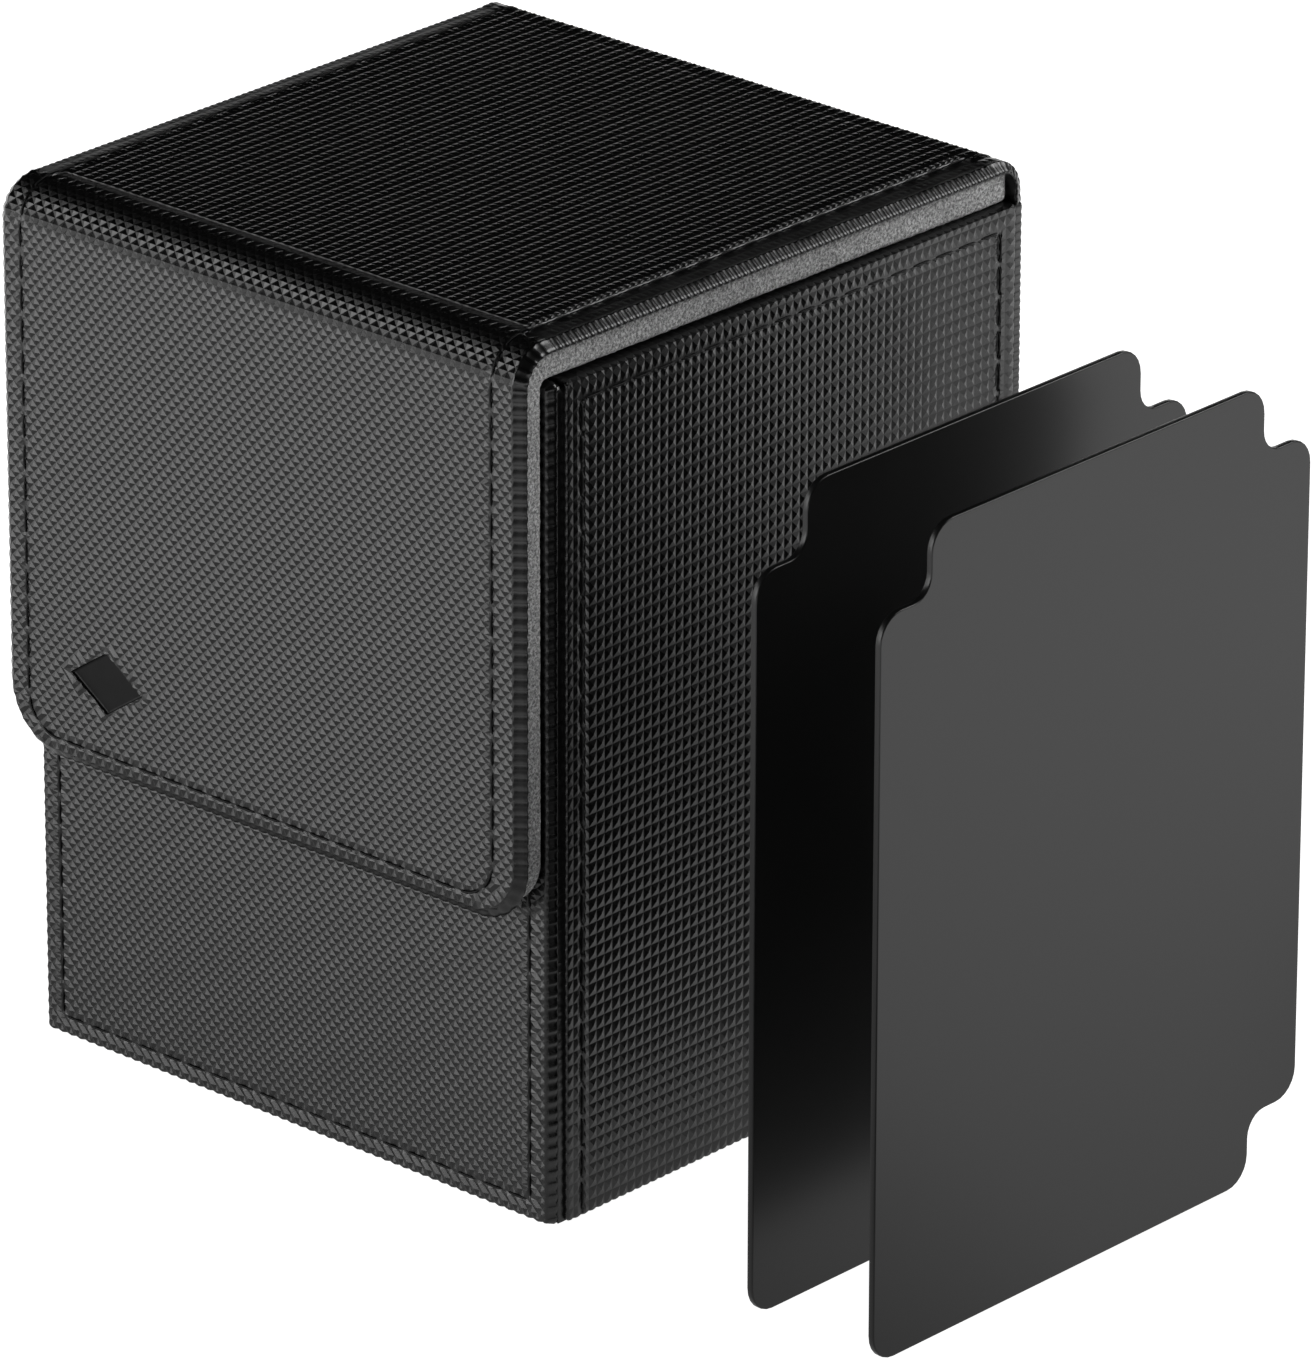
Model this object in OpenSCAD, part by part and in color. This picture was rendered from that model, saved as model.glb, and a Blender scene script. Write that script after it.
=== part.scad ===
// Card deck box: a board box covered in embossed leather, with a flip-over lid held shut by
// magnets, a soft lining, and two loose plastic dividers that stand beside it.
// Millimetres, +Z up. The front faces -Y and the lid hinges along the top of the back.
// The origin is the middle of the underside of the box.

/* [Lid and wrap] */
// Width of the lid and of the leather wrap behind and below the box
case_w = 77.9; // [74:0.1:84]
// Depth from the face of the flap to the back
case_d = 81.8; // [78:0.1:110]
// Height to the top of the lid
case_h = 104; // [100:0.5:115]
// How far the flap reaches down from the top of the lid
flap_drop = 67.1; // [45:0.1:85]
// Radius of the flap's two lower corners
flap_corner_r = 7.2; // [5:0.1:12]
// Outside radius where the lid turns down into the flap
front_top_r = 4.9; // [4:0.1:7]
// Outside radius where the hinge leather turns down the back
back_top_r = 3.75; // [3.2:0.05:4.5]
// Thickness of the turned and stitched leather
wrap_t = 1.4; // [1.2:0.1:1.6]
// Thickness of the lid's padded lining
lid_pad_t = 3.3; // [3:0.1:3.6]
// Thickness of the flap's padded lining
flap_pad_t = 3.1; // [2.8:0.1:3.4]
// How far the lid's lining stands back from the edge of its leather
pad_inset = 0.95; // [0.5:0.05:1.5]

/* [Body] */
// Width across the outside of the two side covers
sides_w = 78.3; // [74:0.1:84]
// Height of the walls of the box
body_h = 98.9; // [95:0.1:99]
// Clearance between the flap's lining and the front of the box
flap_gap = 0.37; // [0.3:0.01:1]
// Width of the front cover
front_w = 77; // [73:0.1:77.2]
// Thickness of the front cover with the board inside it
front_t = 1.78; // [1.6:0.01:2.2]
// Width of the groove between the front cover and each side cover
groove_w = 0.55; // [0.3:0.05:0.8]
// Thickness of the leather on the sides
cover_t = 0.8; // [0.6:0.1:1]
// Thickness of the boards in the sides, the floor and the lid
board_t = 1.8; // [1.5:0.1:2]
// Thickness of the lining on the sides and the floor
lining_t = 1; // [0.6:0.1:1.2]
// Thickness of the lining on the front and back walls, with its card backing
end_lining_t = 1.6; // [1.2:0.1:2]

/* [Stitching] */
// Length taken by one stitch and the gap after it
stitch_pitch = 3.76; // [3:0.01:5]
// Length of thread that shows in each stitch
stitch_l = 3.2; // [2:0.1:3.5]
// Distance of the flap's left seam from the edge
left_seam_in = 3.15; // [2.5:0.05:5]
// Distance of the flap's right seam from the edge
right_seam_in = 4.05; // [2.5:0.05:5]
// Distance of the bottom seam from the edge of the flap or cover
bottom_seam_in = 2.6; // [2:0.1:4]

/* [Dividers] */
// Width of a divider
divider_w = 70.2; // [60:0.1:70.8]
// Height of a divider
divider_h = 94.2; // [85:0.1:94.4]
// Thickness of a divider
divider_t = 0.8; // [0.5:0.1:1.2]
// Size of the square notches in a divider's corners
notch = 8; // [7:0.5:12]
// Distance from the middle of the box to the outer face of the nearer divider
divider_x = 69.25; // [50:0.25:90]
// Distance between the two dividers
divider_step = 17.3; // [5:0.1:40]
// How far the dividers stand forward of the middle of the box
divider_forward = 2.1; // [-10:0.1:10]

/* [Hidden] */
$fn = 64;

leather = [0.12, 0.12, 0.12];
greyboard = [0.55, 0.52, 0.47];
microfibre = [0.45, 0.45, 0.45];
thread = [0.05, 0.05, 0.05];
steel = [0.75, 0.75, 0.78];
plastic = [0.2, 0.2, 0.2];

past = 1;                                 // how far a cut runs past the surface it starts from

// Planes of the wrap and the lid
case_x = case_w / 2;
case_y = case_d / 2;
pad_front_y = -case_y + wrap_t;           // between the flap's leather and its lining
pad_top_z = case_h - wrap_t;              // between the lid's leather and its lining
flap_z = case_h - flap_drop;              // lower edge of the flap
back_y = case_y - wrap_t;                 // inside of the back wrap
pad_back_y = back_y - 0.6;                // where the lid's lining ends
pad_end_r = lid_pad_t / 2 - 0.05;         // its rounded end
hinge_z = body_h - 0.6;                   // where the hinge leather starts, on the back
hinge_y = case_y - 4.9;                   // and where it ends, on the lid
hinge_inner_r = 1.5;
lid_board_in = 3.4;                       // from the edges of the lid to its boards

// Planes of the box
side_x = sides_w / 2;
front_x = front_w / 2;
front_y = pad_front_y + flap_pad_t + flap_gap;
front_back_y = front_y + front_t;         // back of the front cover
side_front_y = front_back_y + groove_w;
side_back_y = back_y - 0.4;
side_z = 0.3;                             // lower edge of the side covers
board_x = side_x - cover_t;
lining_x = board_x - board_t;
room_x = lining_x - lining_t;             // inside of the box
room_front_y = front_back_y + end_lining_t;
room_back_y = back_y - end_lining_t;
base_t = 1.2;                             // leather under the box
base_board_z = base_t + 2;                // top of the board in the floor
room_z = base_board_z + lining_t;
edge_t = 0.8;                             // leather turned over the top of a wall
turn_in = 2.4;                            // and how far it turns down inside
wall_r = 0.75;                            // rounding along the top of a wall
front_board_in = 2.5;                     // from the edges of the front cover to its board
front_board_t = 1;
back_board_t = 0.6;

// Magnets, in pairs that meet when the lid is shut
magnet_w = 20;
magnet_h = 8;
magnet_t = 0.9;
magnet_x = 20;
magnet_z = 50;

// Seams
thread_w = 0.6;
thread_t = 0.25;
seam_w = 0.8;
seam_d = 0.3;
seam_corner_r = 4.6;
side_seam_front_y = side_front_y + 2.5;
side_seam_back_y = side_back_y - 2.4;
side_seam_z = body_h - 2.8;
front_seam_in = 2.65;
back_seam_in = 3;

// Debossed lozenge near the flap's lower left corner
motif_x = -23.6;
motif_z = 48.3;
motif_w = 11;
motif_h = 7.4;
motif_d = 0.3;

// Divider corners
divider_y0 = -divider_w / 2 - divider_forward;
divider_y1 = divider_w / 2 - divider_forward;
divider_r = 3.3;                          // outward corners
notch_r = 2.7;                            // inward corners

// A box between two X, two Y and two Z planes
module block(x, y, z)
    translate([x[0], y[0], z[0]])
        cube([x[1] - x[0], y[1] - y[0], z[1] - z[0]]);

// A rectangle between two planes each way
module area(u, v)
    translate([u[0], v[0]])
        square([u[1] - u[0], v[1] - v[0]]);

// An outline drawn in Y and Z, made into a solid between two X planes
module along_x(x)
    translate([x[0], 0, 0]) rotate([90, 0, 90])
        linear_extrude(x[1] - x[0]) children();

// An outline drawn in X and Z, made into a solid between two Y planes
module along_y(y)
    translate([0, y[1], 0]) rotate([90, 0, 0])
        linear_extrude(y[1] - y[0]) children();

// What rounding takes off a corner. The shape lies to the right of and above the corner at
// turn 0, and a quarter turn further round for every 90.
module off_corner(at, turn, r)
    translate(at) rotate(turn)
        difference() {
            area([-past, r], [-past, r]);
            translate([r, r]) circle(r);
        }

// The lid seen from the right: a top panel that turns down into the flap
module lid_profile(y, z, front, top, outer_r, inner_r)
    difference() {
        area(y, z);
        off_corner([y[0], z[1]], 270, outer_r);
        difference() {
            area([y[0] + front, y[1] + past], [z[0] - past, z[1] - top]);
            off_corner([y[0] + front, z[1] - top], 270, inner_r);
        }
    }

// The flap seen from the front, taken in from its edges
module flap_outline(inset, corner_r)
    difference() {
        area([-case_x + inset, case_x - inset], [flap_z + inset, case_h]);
        off_corner([-case_x + inset, flap_z + inset], 0, corner_r);
        off_corner([case_x - inset, flap_z + inset], 90, corner_r);
    }

// A seam along +X on a surface that faces +Z: its channel, or the stitches that lie in it
module seam(run, cut) {
    count = floor(run / stitch_pitch);
    if (cut)
        block([0, run], [-seam_w / 2, seam_w / 2], [-seam_d, past]);
    else
        for (i = [0 : count - 1])
            translate([(i + 0.5) * run / count, 0, -seam_d])
                block([-stitch_l / 2, stitch_l / 2], [-thread_w / 2, thread_w / 2], [0, thread_t]);
}

// The same round part of a circle about the origin, counterclockwise from +X
module seam_bend(r, turn, cut) {
    count = max(1, floor(r * turn * PI / 180 / stitch_pitch));
    share = turn / count * stitch_l / stitch_pitch;
    if (cut)
        rotate_extrude(angle = turn)
            area([r - seam_w / 2, r + seam_w / 2], [-seam_d, past]);
    else
        for (i = [0 : count - 1])
            rotate((i + 0.5) * turn / count - share / 2)
                rotate_extrude(angle = share)
                    area([r - thread_w / 2, r + thread_w / 2], [-seam_d, -seam_d + thread_t]);
}

// The same over an outward edge that turns from facing -Y to facing +Z
module seam_over(r, cut) {
    count = floor(r * PI / 2 / stitch_pitch);
    share = 90 / count * stitch_l / stitch_pitch;
    rotate([0, -90, 0]) rotate(-90)
        if (cut)
            rotate_extrude(angle = 90)
                area([r - seam_d, r + past], [-seam_w / 2, seam_w / 2]);
        else
            for (i = [0 : count - 1])
                rotate((i + 0.5) * 90 / count - share / 2)
                    rotate_extrude(angle = share)
                        area([r - seam_d, r - seam_d + thread_t], [-thread_w / 2, thread_w / 2]);
}

// Frames for the seams: X and Y run along the surface, and Z points out of the box
module on_face_of_front(y) translate([0, y, 0]) rotate([90, 0, 0]) children();
module on_face_of_back(y) translate([0, y, 0]) rotate([90, 0, 180]) children();
module on_face_of_side(x) translate([x, 0, 0]) rotate([90, 0, 90]) children();

module lid_seams(cut) {
    left = -case_x + left_seam_in;
    right = case_x - right_seam_in;
    low = flap_z + bottom_seam_in;
    r = seam_corner_r;
    on_face_of_front(-case_y) {
        translate([left + r, low]) seam(right - left - 2 * r, cut);
        translate([left + r, low + r]) rotate(180) seam_bend(r, 90, cut);
        translate([right - r, low + r]) rotate(270) seam_bend(r, 90, cut);
    }
    for (x = [left, right]) {
        on_face_of_front(-case_y)
            translate([x, low + r]) rotate(90) seam(case_h - front_top_r - low - r, cut);
        translate([x, -case_y + front_top_r, case_h - front_top_r])
            seam_over(front_top_r, cut);
        translate([x, -case_y + front_top_r, case_h])
            rotate(90) seam(hinge_y + case_y - front_top_r, cut);
    }
}

module front_seams(cut)
    on_face_of_front(front_y) {
        edge = front_x - front_seam_in;
        low = bottom_seam_in;
        translate([-edge + seam_w, low]) seam(2 * (edge - seam_w), cut);
        for (x = [-edge, edge])
            translate([x, low - seam_w / 2]) rotate(90) seam(body_h - low - seam_w, cut);
    }

module back_seams(cut)
    on_face_of_back(case_y) {
        edge = case_x - back_seam_in;
        low = bottom_seam_in;
        translate([-edge + seam_w, low]) seam(2 * (edge - seam_w), cut);
        for (x = [-edge, edge])
            translate([x, low - seam_w / 2]) rotate(90) seam(hinge_z - low - seam_w, cut);
    }

module side_seams(cut)
    on_face_of_side(side_x) {
        for (y = [side_seam_front_y, side_seam_back_y])
            translate([y, side_z]) rotate(90) seam(side_seam_z - side_z, cut);
        translate([side_seam_front_y + seam_w, side_seam_z])
            seam(side_seam_back_y - side_seam_front_y - 2 * seam_w, cut);
    }

// Two bar magnets in a wall between two Y planes
module magnets(y)
    for (side = [-1, 1])
        block([side * magnet_x - magnet_w / 2, side * magnet_x + magnet_w / 2], y,
            [magnet_z - magnet_h / 2, magnet_z + magnet_h / 2]);

// Front wall: a stitched leather cover with its board inside, then the lining
front_board_y = [front_back_y - front_board_t, front_back_y];
module front_leather()
    color(leather)
        difference() {
            union() {
                along_y([front_y, front_back_y])
                    difference() {
                        area([-front_x, front_x], [0, body_h]);
                        off_corner([-front_x, 0], 0, wall_r);
                        off_corner([front_x, 0], 90, wall_r);
                    }
                block([-room_x, room_x], [front_back_y, room_front_y], [body_h - turn_in, body_h]);
            }
            along_x([-case_w, case_w]) {
                off_corner([front_y, body_h], 270, wall_r);
                off_corner([room_front_y, body_h], 180, wall_r);
            }
            front_board_space();
            front_seams(true);
        }
module front_board_space()
    block([-front_x + front_board_in, front_x - front_board_in], front_board_y,
        [front_board_in, body_h - turn_in]);
module front_board()
    color(greyboard)
        difference() {
            front_board_space();
            magnets(front_board_y + [0, past]);
        }
module front_magnets()
    color(steel) magnets(front_board_y);
module front_lining()
    color(microfibre)
        block([-room_x, room_x], [front_back_y, room_front_y], [base_board_z, body_h - turn_in]);
module front_thread()
    color(thread) front_seams(false);

// Back wall: the wrap's leather with a thin board inside it, then the lining
back_board_y = [back_y, back_y + back_board_t];
module back_board_space()
    block([-case_x + front_board_in, case_x - front_board_in], back_board_y,
        [front_board_in, hinge_z - front_board_in]);
module back_leather()
    color(leather)
        difference() {
            along_y([back_y, case_y])
                difference() {
                    area([-case_x, case_x], [0, hinge_z]);
                    off_corner([-case_x, 0], 0, wall_r);
                    off_corner([case_x, 0], 90, wall_r);
                }
            back_board_space();
            back_seams(true);
        }
module back_board()
    color(greyboard) back_board_space();
module back_lining()
    color(microfibre)
        along_x([-room_x, room_x])
            difference() {
                area([room_back_y, back_y], [base_board_z, body_h - 0.3]);
                off_corner([room_back_y, body_h - 0.3], 270, wall_r);
            }
module back_thread()
    color(thread) back_seams(false);

// Right wall. The left wall is its mirror image.
module side_leather()
    color(leather)
        difference() {
            along_y([side_front_y, side_back_y])
                difference() {
                    area([room_x, side_x], [side_z, body_h]);
                    off_corner([room_x, body_h], 270, wall_r);
                    off_corner([side_x, body_h], 180, wall_r);
                    area([lining_x, board_x], [side_z - past, body_h - edge_t]);
                    area([room_x - past, board_x], [side_z - past, body_h - turn_in]);
                }
            side_seams(true);
        }
module side_board()
    color(greyboard)
        block([lining_x, board_x], [front_back_y, back_y], [base_t, body_h - edge_t]);
module side_lining()
    color(microfibre)
        block([room_x, lining_x], [front_back_y, back_y], [base_board_z, body_h - turn_in]);
module side_thread()
    color(thread) side_seams(false);
module right_leather() side_leather();
module right_board() side_board();
module right_lining() side_lining();
module right_thread() side_thread();
module left_leather() mirror([1, 0, 0]) side_leather();
module left_board() mirror([1, 0, 0]) side_board();
module left_lining() mirror([1, 0, 0]) side_lining();
module left_thread() mirror([1, 0, 0]) side_thread();

// Floor
module bottom_leather()
    color(leather)
        block([-board_x, board_x], [front_back_y, back_y], [0, base_t]);
module bottom_board()
    color(greyboard)
        block([-lining_x, lining_x], [front_back_y, back_y], [base_t, base_board_z]);
module bottom_lining()
    color(microfibre)
        block([-room_x, room_x], [room_front_y, room_back_y], [base_board_z, room_z]);

// Hinge: the wrap's leather between the top of the back and the lid
module hinge_leather()
    color(leather)
        along_x([-case_x, case_x])
            difference() {
                area([hinge_y, case_y], [hinge_z, case_h]);
                off_corner([case_y, case_h], 180, back_top_r);
                difference() {
                    area([hinge_y - past, back_y], [hinge_z - past, pad_top_z]);
                    off_corner([back_y, pad_top_z], 180, hinge_inner_r);
                }
            }

// Lid: leather outside, a thick soft lining inside, and two boards between them
flap_board_y = [pad_front_y, pad_front_y + board_t];
module lid_leather()
    color(leather)
        difference() {
            intersection() {
                along_x([-case_x, case_x])
                    lid_profile([-case_y, hinge_y], [flap_z, case_h], wrap_t, wrap_t,
                        front_top_r, front_top_r - wrap_t);
                along_y([-case_y, case_y]) flap_outline(0, flap_corner_r);
            }
            lid_seams(true);
            along_y([-case_y - past, -case_y + motif_d])
                polygon([[motif_x - motif_w / 2, motif_z], [motif_x, motif_z - motif_h / 2],
                    [motif_x + motif_w / 2, motif_z], [motif_x, motif_z + motif_h / 2]]);
        }
module lid_lining()
    color(microfibre)
        difference() {
            intersection() {
                along_x([-case_x, case_x])
                    difference() {
                        lid_profile([pad_front_y, pad_back_y], [flap_z + pad_inset, pad_top_z],
                            flap_pad_t, lid_pad_t, front_top_r - wrap_t, 1);
                        off_corner([pad_back_y, pad_top_z], 180, pad_end_r);
                        off_corner([pad_back_y, pad_top_z - lid_pad_t], 90, pad_end_r);
                        off_corner([pad_front_y, flap_z + pad_inset], 0, flap_pad_t / 2);
                        off_corner([pad_front_y + flap_pad_t, flap_z + pad_inset], 90,
                            flap_pad_t / 2);
                    }
                along_y([-case_y, case_y]) flap_outline(pad_inset, flap_corner_r - pad_inset);
            }
            top_board_space();
            flap_board_space();
        }
module top_board_space()
    block([-case_x + lid_board_in, case_x - lid_board_in],
        [-case_y + 2 * front_top_r, hinge_y - 2], [pad_top_z - board_t, pad_top_z]);
module flap_board_space()
    along_y(flap_board_y)
        intersection() {
            flap_outline(lid_board_in, flap_corner_r - pad_inset);
            area([-case_x, case_x], [flap_z, case_h - 2 * front_top_r]);
        }
module top_board()
    color(greyboard) top_board_space();
module flap_board()
    color(greyboard)
        difference() {
            flap_board_space();
            magnets([flap_board_y[1] - magnet_t, flap_board_y[1] + past]);
        }
module flap_magnets()
    color(steel) magnets([flap_board_y[1] - magnet_t, flap_board_y[1]]);
module lid_thread()
    color(thread) lid_seams(false);

// Dividers: thin plates with a square notch at three corners
module divider(x)
    color(plastic)
        along_x([x - divider_t, x])
            difference() {
                area([divider_y0, divider_y1], [0, divider_h]);
                off_corner([divider_y0, 0], 0, divider_r);
                notch_cut([divider_y1, 0], 90);
                notch_cut([divider_y1, divider_h], 180);
                notch_cut([divider_y0, divider_h], 270);
            }
module notch_cut(at, turn)
    translate(at) rotate(turn) {
        difference() {
            area([-past, notch], [-past, notch]);
            off_corner([notch, notch], 180, notch_r);
        }
        off_corner([notch, 0], 0, divider_r);
        off_corner([0, notch], 0, divider_r);
    }
module inner_divider() divider(divider_x);
module outer_divider() divider(divider_x + divider_step);

front_leather();
back_leather();
left_leather();
right_leather();
bottom_leather();
front_board();
back_board();
left_board();
right_board();
bottom_board();
front_lining();
back_lining();
left_lining();
right_lining();
bottom_lining();
front_magnets();
front_thread();
back_thread();
left_thread();
right_thread();
hinge_leather();
lid_leather();
lid_lining();
top_board();
flap_board();
flap_magnets();
lid_thread();
inner_divider();
outer_divider();
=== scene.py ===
"""The looks of a card deck box: embossed synthetic leather, a soft lining, sewn seams and dividers.

Lengths inside the builders are in millimetres; meshes are written in metres by make_object().
"""
import math

import bmesh
import bpy
import numpy as np
from mathutils import Matrix, Vector
from mathutils.geometry import delaunay_2d_cdt


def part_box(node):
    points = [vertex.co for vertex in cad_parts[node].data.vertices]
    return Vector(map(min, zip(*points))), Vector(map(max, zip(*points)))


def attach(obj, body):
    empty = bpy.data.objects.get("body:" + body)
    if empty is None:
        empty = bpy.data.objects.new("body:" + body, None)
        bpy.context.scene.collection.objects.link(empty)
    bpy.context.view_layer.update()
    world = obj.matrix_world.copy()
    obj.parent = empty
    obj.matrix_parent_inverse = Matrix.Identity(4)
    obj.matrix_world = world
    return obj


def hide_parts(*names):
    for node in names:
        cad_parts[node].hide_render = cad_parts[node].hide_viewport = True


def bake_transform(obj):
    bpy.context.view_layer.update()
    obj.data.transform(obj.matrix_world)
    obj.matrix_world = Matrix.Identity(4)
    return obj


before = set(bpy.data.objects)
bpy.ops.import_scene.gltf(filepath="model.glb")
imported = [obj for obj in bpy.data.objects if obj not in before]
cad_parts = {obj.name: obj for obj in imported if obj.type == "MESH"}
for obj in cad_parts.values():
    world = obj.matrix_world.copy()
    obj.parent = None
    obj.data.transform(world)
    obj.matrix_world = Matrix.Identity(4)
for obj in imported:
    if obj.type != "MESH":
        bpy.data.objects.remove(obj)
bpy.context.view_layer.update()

MM = 0.001


def cad(node):
    """Lowest and highest corner of a CAD node, in millimetres."""
    lo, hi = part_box(node)
    return np.array(lo) / MM, np.array(hi) / MM


# --- Sizes, all from the frame ---
LID_LO, LID_HI = cad("lid_leather")
HINGE_LO, HINGE_HI = cad("hinge_leather")
PAD_LO, PAD_HI = cad("lid_lining")
FRONT_LO, FRONT_HI = cad("front_leather")
BACK_LO, BACK_HI = cad("back_leather")
SIDE_LO, SIDE_HI = cad("right_leather")
BASE_LO, BASE_HI = cad("bottom_leather")

WRAP_T = BACK_HI[1] - BACK_LO[1]
FRONT_TOP_R = 4.9                # outside radius where the lid turns down into the flap
BACK_TOP_R = 3.75                # outside radius of the hinge leather
FLAP_CORNER_R = 7.2
COVER_CORNER_R = 0.95
PAD_INNER_R = 0.9

# The emboss: pyramids this far apart, in straight rows on the top and the sides, and in diagonal
# rows on the flap and the front
PITCH = 1.434
TOP_PITCH = 1.009
SIDE_PITCH = 1.255
EMBOSS = 0.22                    # depth of the valleys
PER_PITCH = 2                    # mesh lines to a pitch: one on the tips and one in the valleys

# Seams
STITCH_PITCH = 3.76
STITCH_L = 3.25
THREAD_R = 0.125
SEAM_CORNER_R = 4.6
LID_SEAM_LEFT = LID_LO[0] + 3.15
LID_SEAM_RIGHT = LID_HI[0] - 4.35
LID_SEAM_LOW = 2.6
FRONT_SEAM_IN = 2.65
BACK_SEAM_IN = 3.0
SIDE_SEAM_FRONT_IN = 2.5
SIDE_SEAM_BACK_IN = 2.4
SIDE_SEAM_TOP_IN = 2.8

ASIDES = 5                       # mesh points across a seam

rng = np.random.default_rng(7)


# --- Paths: the line that a sheet follows, seen end on ---
class Path:
    """Straight and round stretches in a plane. The sheet's outer side is on the left, or the right."""

    def __init__(self, start, heading, stretches, outside=1):
        self.outside = outside
        self.parts = []
        at, angle, gone = np.array(start, float), math.radians(heading), 0.0
        for length, turn in stretches:
            turn = math.radians(turn)
            self.parts.append((gone, length, at.copy(), angle, turn / length))
            at = at + self.step(angle, turn / length, length)
            angle, gone = angle + turn, gone + length
        self.length = gone

    @staticmethod
    def step(angle, bend, s):
        if abs(bend) < 1e-9:
            return np.stack([s * math.cos(angle), s * math.sin(angle)], -1)
        end = angle + bend * s
        return np.stack(
            [(np.sin(end) - math.sin(angle)) / bend, (math.cos(angle) - np.cos(end)) / bend], -1
        )

    def at(self, s):
        """Points and outward normals at distances s along the path."""
        s = np.asarray(s, float)
        points, normals = np.zeros(s.shape + (2,)), np.zeros(s.shape + (2,))
        for k, (gone, length, start, angle, bend) in enumerate(self.parts):
            low = -np.inf if k == 0 else gone
            high = np.inf if k == len(self.parts) - 1 else gone + length
            here = (s >= low) & (s < high)
            local = s[here] - gone
            heading = angle + bend * local
            points[here] = start + self.step(angle, bend, local)
            normals[here] = self.outside * np.stack([-np.sin(heading), np.cos(heading)], -1)
        return points, normals


def placer(path, axes, mirror=False):
    """Turns (u, v, n) of a sheet into X, Y, Z: v runs along the path and n points out of the sheet."""

    def place(u, v, n):
        points, normals = path.at(v)
        across = points + normals * np.asarray(n, float)[..., None]
        out = np.zeros(np.shape(u) + (3,))
        out[..., axes[0]] = u
        out[..., axes[1]] = across[..., 0]
        out[..., axes[2]] = across[..., 1]
        if mirror:
            out[..., 0] = -out[..., 0]
        return out

    return place


# --- Seams: where the stitches run on a sheet ---
class Seam:
    """A line of stitches over a sheet's (u, v), made of straight runs and round corners."""

    def __init__(self, start, heading, stretches, deep=0.14, wide=0.18):
        self.deep, self.wide = deep, wide
        self.path = Path(start, heading, stretches)
        self.length = self.path.length
        self.count = max(1, round(self.length / STITCH_PITCH))
        self.pitch = self.length / self.count

    def near(self, u, v):
        """How far each point is from the seam, and how far along it."""
        best, along = np.full(u.shape, 1e9), np.zeros(u.shape)
        for gone, length, start, angle, bend in self.path.parts:
            du, dv = u - start[0], v - start[1]
            ahead = du * math.cos(angle) + dv * math.sin(angle)
            aside = dv * math.cos(angle) - du * math.sin(angle)
            if abs(bend) > 1e-9:
                r = 1 / bend
                off = np.abs(np.hypot(ahead, aside - r) - abs(r))
                turned = np.arctan2(ahead, (r - aside) * np.sign(r)) * abs(r)
                ahead = turned
            else:
                off = np.abs(aside)
            past = np.maximum(np.maximum(-ahead, ahead - length), 0)
            off = np.hypot(off, past)
            nearer = off < best
            best = np.where(nearer, off, best)
            along = np.where(nearer, gone + np.clip(ahead, 0, length), along)
        return best, along

    def corridor(self):
        """Mesh points along the seam, finer than the sheet's own."""
        count = max(2, round(self.length / self.pitch * 12))
        s = (np.arange(count) + 0.5) / count * self.length
        points, normals = self.path.at(s)
        aside = np.array([-0.28, -0.13, 0, 0.13, 0.28])
        return (points[:, None] + normals[:, None] * aside[None, :, None]).reshape(-1, 2)

    def groove(self, u, v):
        """How deep the thread has pulled the leather in."""
        off, along = self.near(u, v)
        phase = np.abs((along / self.pitch) % 1 - 0.5) * 2      # 0 in mid stitch, 1 between two
        pulled = 1 - 0.75 * np.clip((phase - 0.80) / 0.2, 0, 1)
        return self.deep * pulled * np.exp(-((off / self.wide) ** 2))

    def clear(self, u, v):
        """0 on the seam and 1 away from it: the sewing flattens the emboss."""
        off, _ = self.near(u, v)
        return 1 - 0.5 * np.exp(-((off / 0.22) ** 2))


# --- Emboss ---
def rows(u, v, pitch_u, pitch_v):
    """Pyramids in straight rows: 1 at the tips, 0 in the valleys."""
    a = np.abs((u / pitch_u) % 1 - 0.5) * 2
    b = np.abs((v / pitch_v) % 1 - 0.5) * 2
    return 1 - np.maximum(a, b)


def diagonal(u, v, pitch):
    """Pyramids in diagonal rows, a little lower than those in straight rows."""
    a = np.abs((u / pitch) % 1 - 0.5) * 2
    b = np.abs((v / pitch) % 1 - 0.5) * 2
    return 1 - 0.87 * (1 - np.abs(1 - a - b))


def wander(u, v):
    """The slow unevenness of glued leather, from -1 to 1."""
    return (
        np.sin(u * 0.21 + 1.3) * np.sin(v * 0.17 + 0.4)
        + 0.6 * np.sin(u * 0.53 + v * 0.31)
        + 0.4 * np.sin(v * 0.71 - u * 0.37 + 2.1)
    ) / 2


def leather_relief(shape, seams, depth=EMBOSS):
    """A function of (u, v) that gives the height of the surface and how high it is in the emboss."""

    def relief(u, v):
        h = shape(u, v)
        level = h - 1
        sunk = 0
        for seam in seams:
            level = level * seam.clear(u, v) - 0.5 * (1 - seam.clear(u, v))
            sunk = sunk + seam.groove(u, v)
        return depth * level - sunk + 0.035 * wander(u, v), h

    return relief


def plain_relief(rough):
    """Brushed cloth: every point a little up or down."""

    def relief(u, v):
        n = rng.normal(0, rough, np.shape(u))
        return n + 0.03 * wander(u * 2, v * 2), 0.5 + n / (4 * rough + 1e-9)

    return relief


# --- Sheets ---
def grid_lines(lo, hi, step, clear=0.1):
    """Lines a step apart between lo and hi, on whole steps."""
    first, last = math.ceil((lo + clear) / step), math.floor((hi - clear) / step)
    return np.arange(first, last + 1) * step


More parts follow.
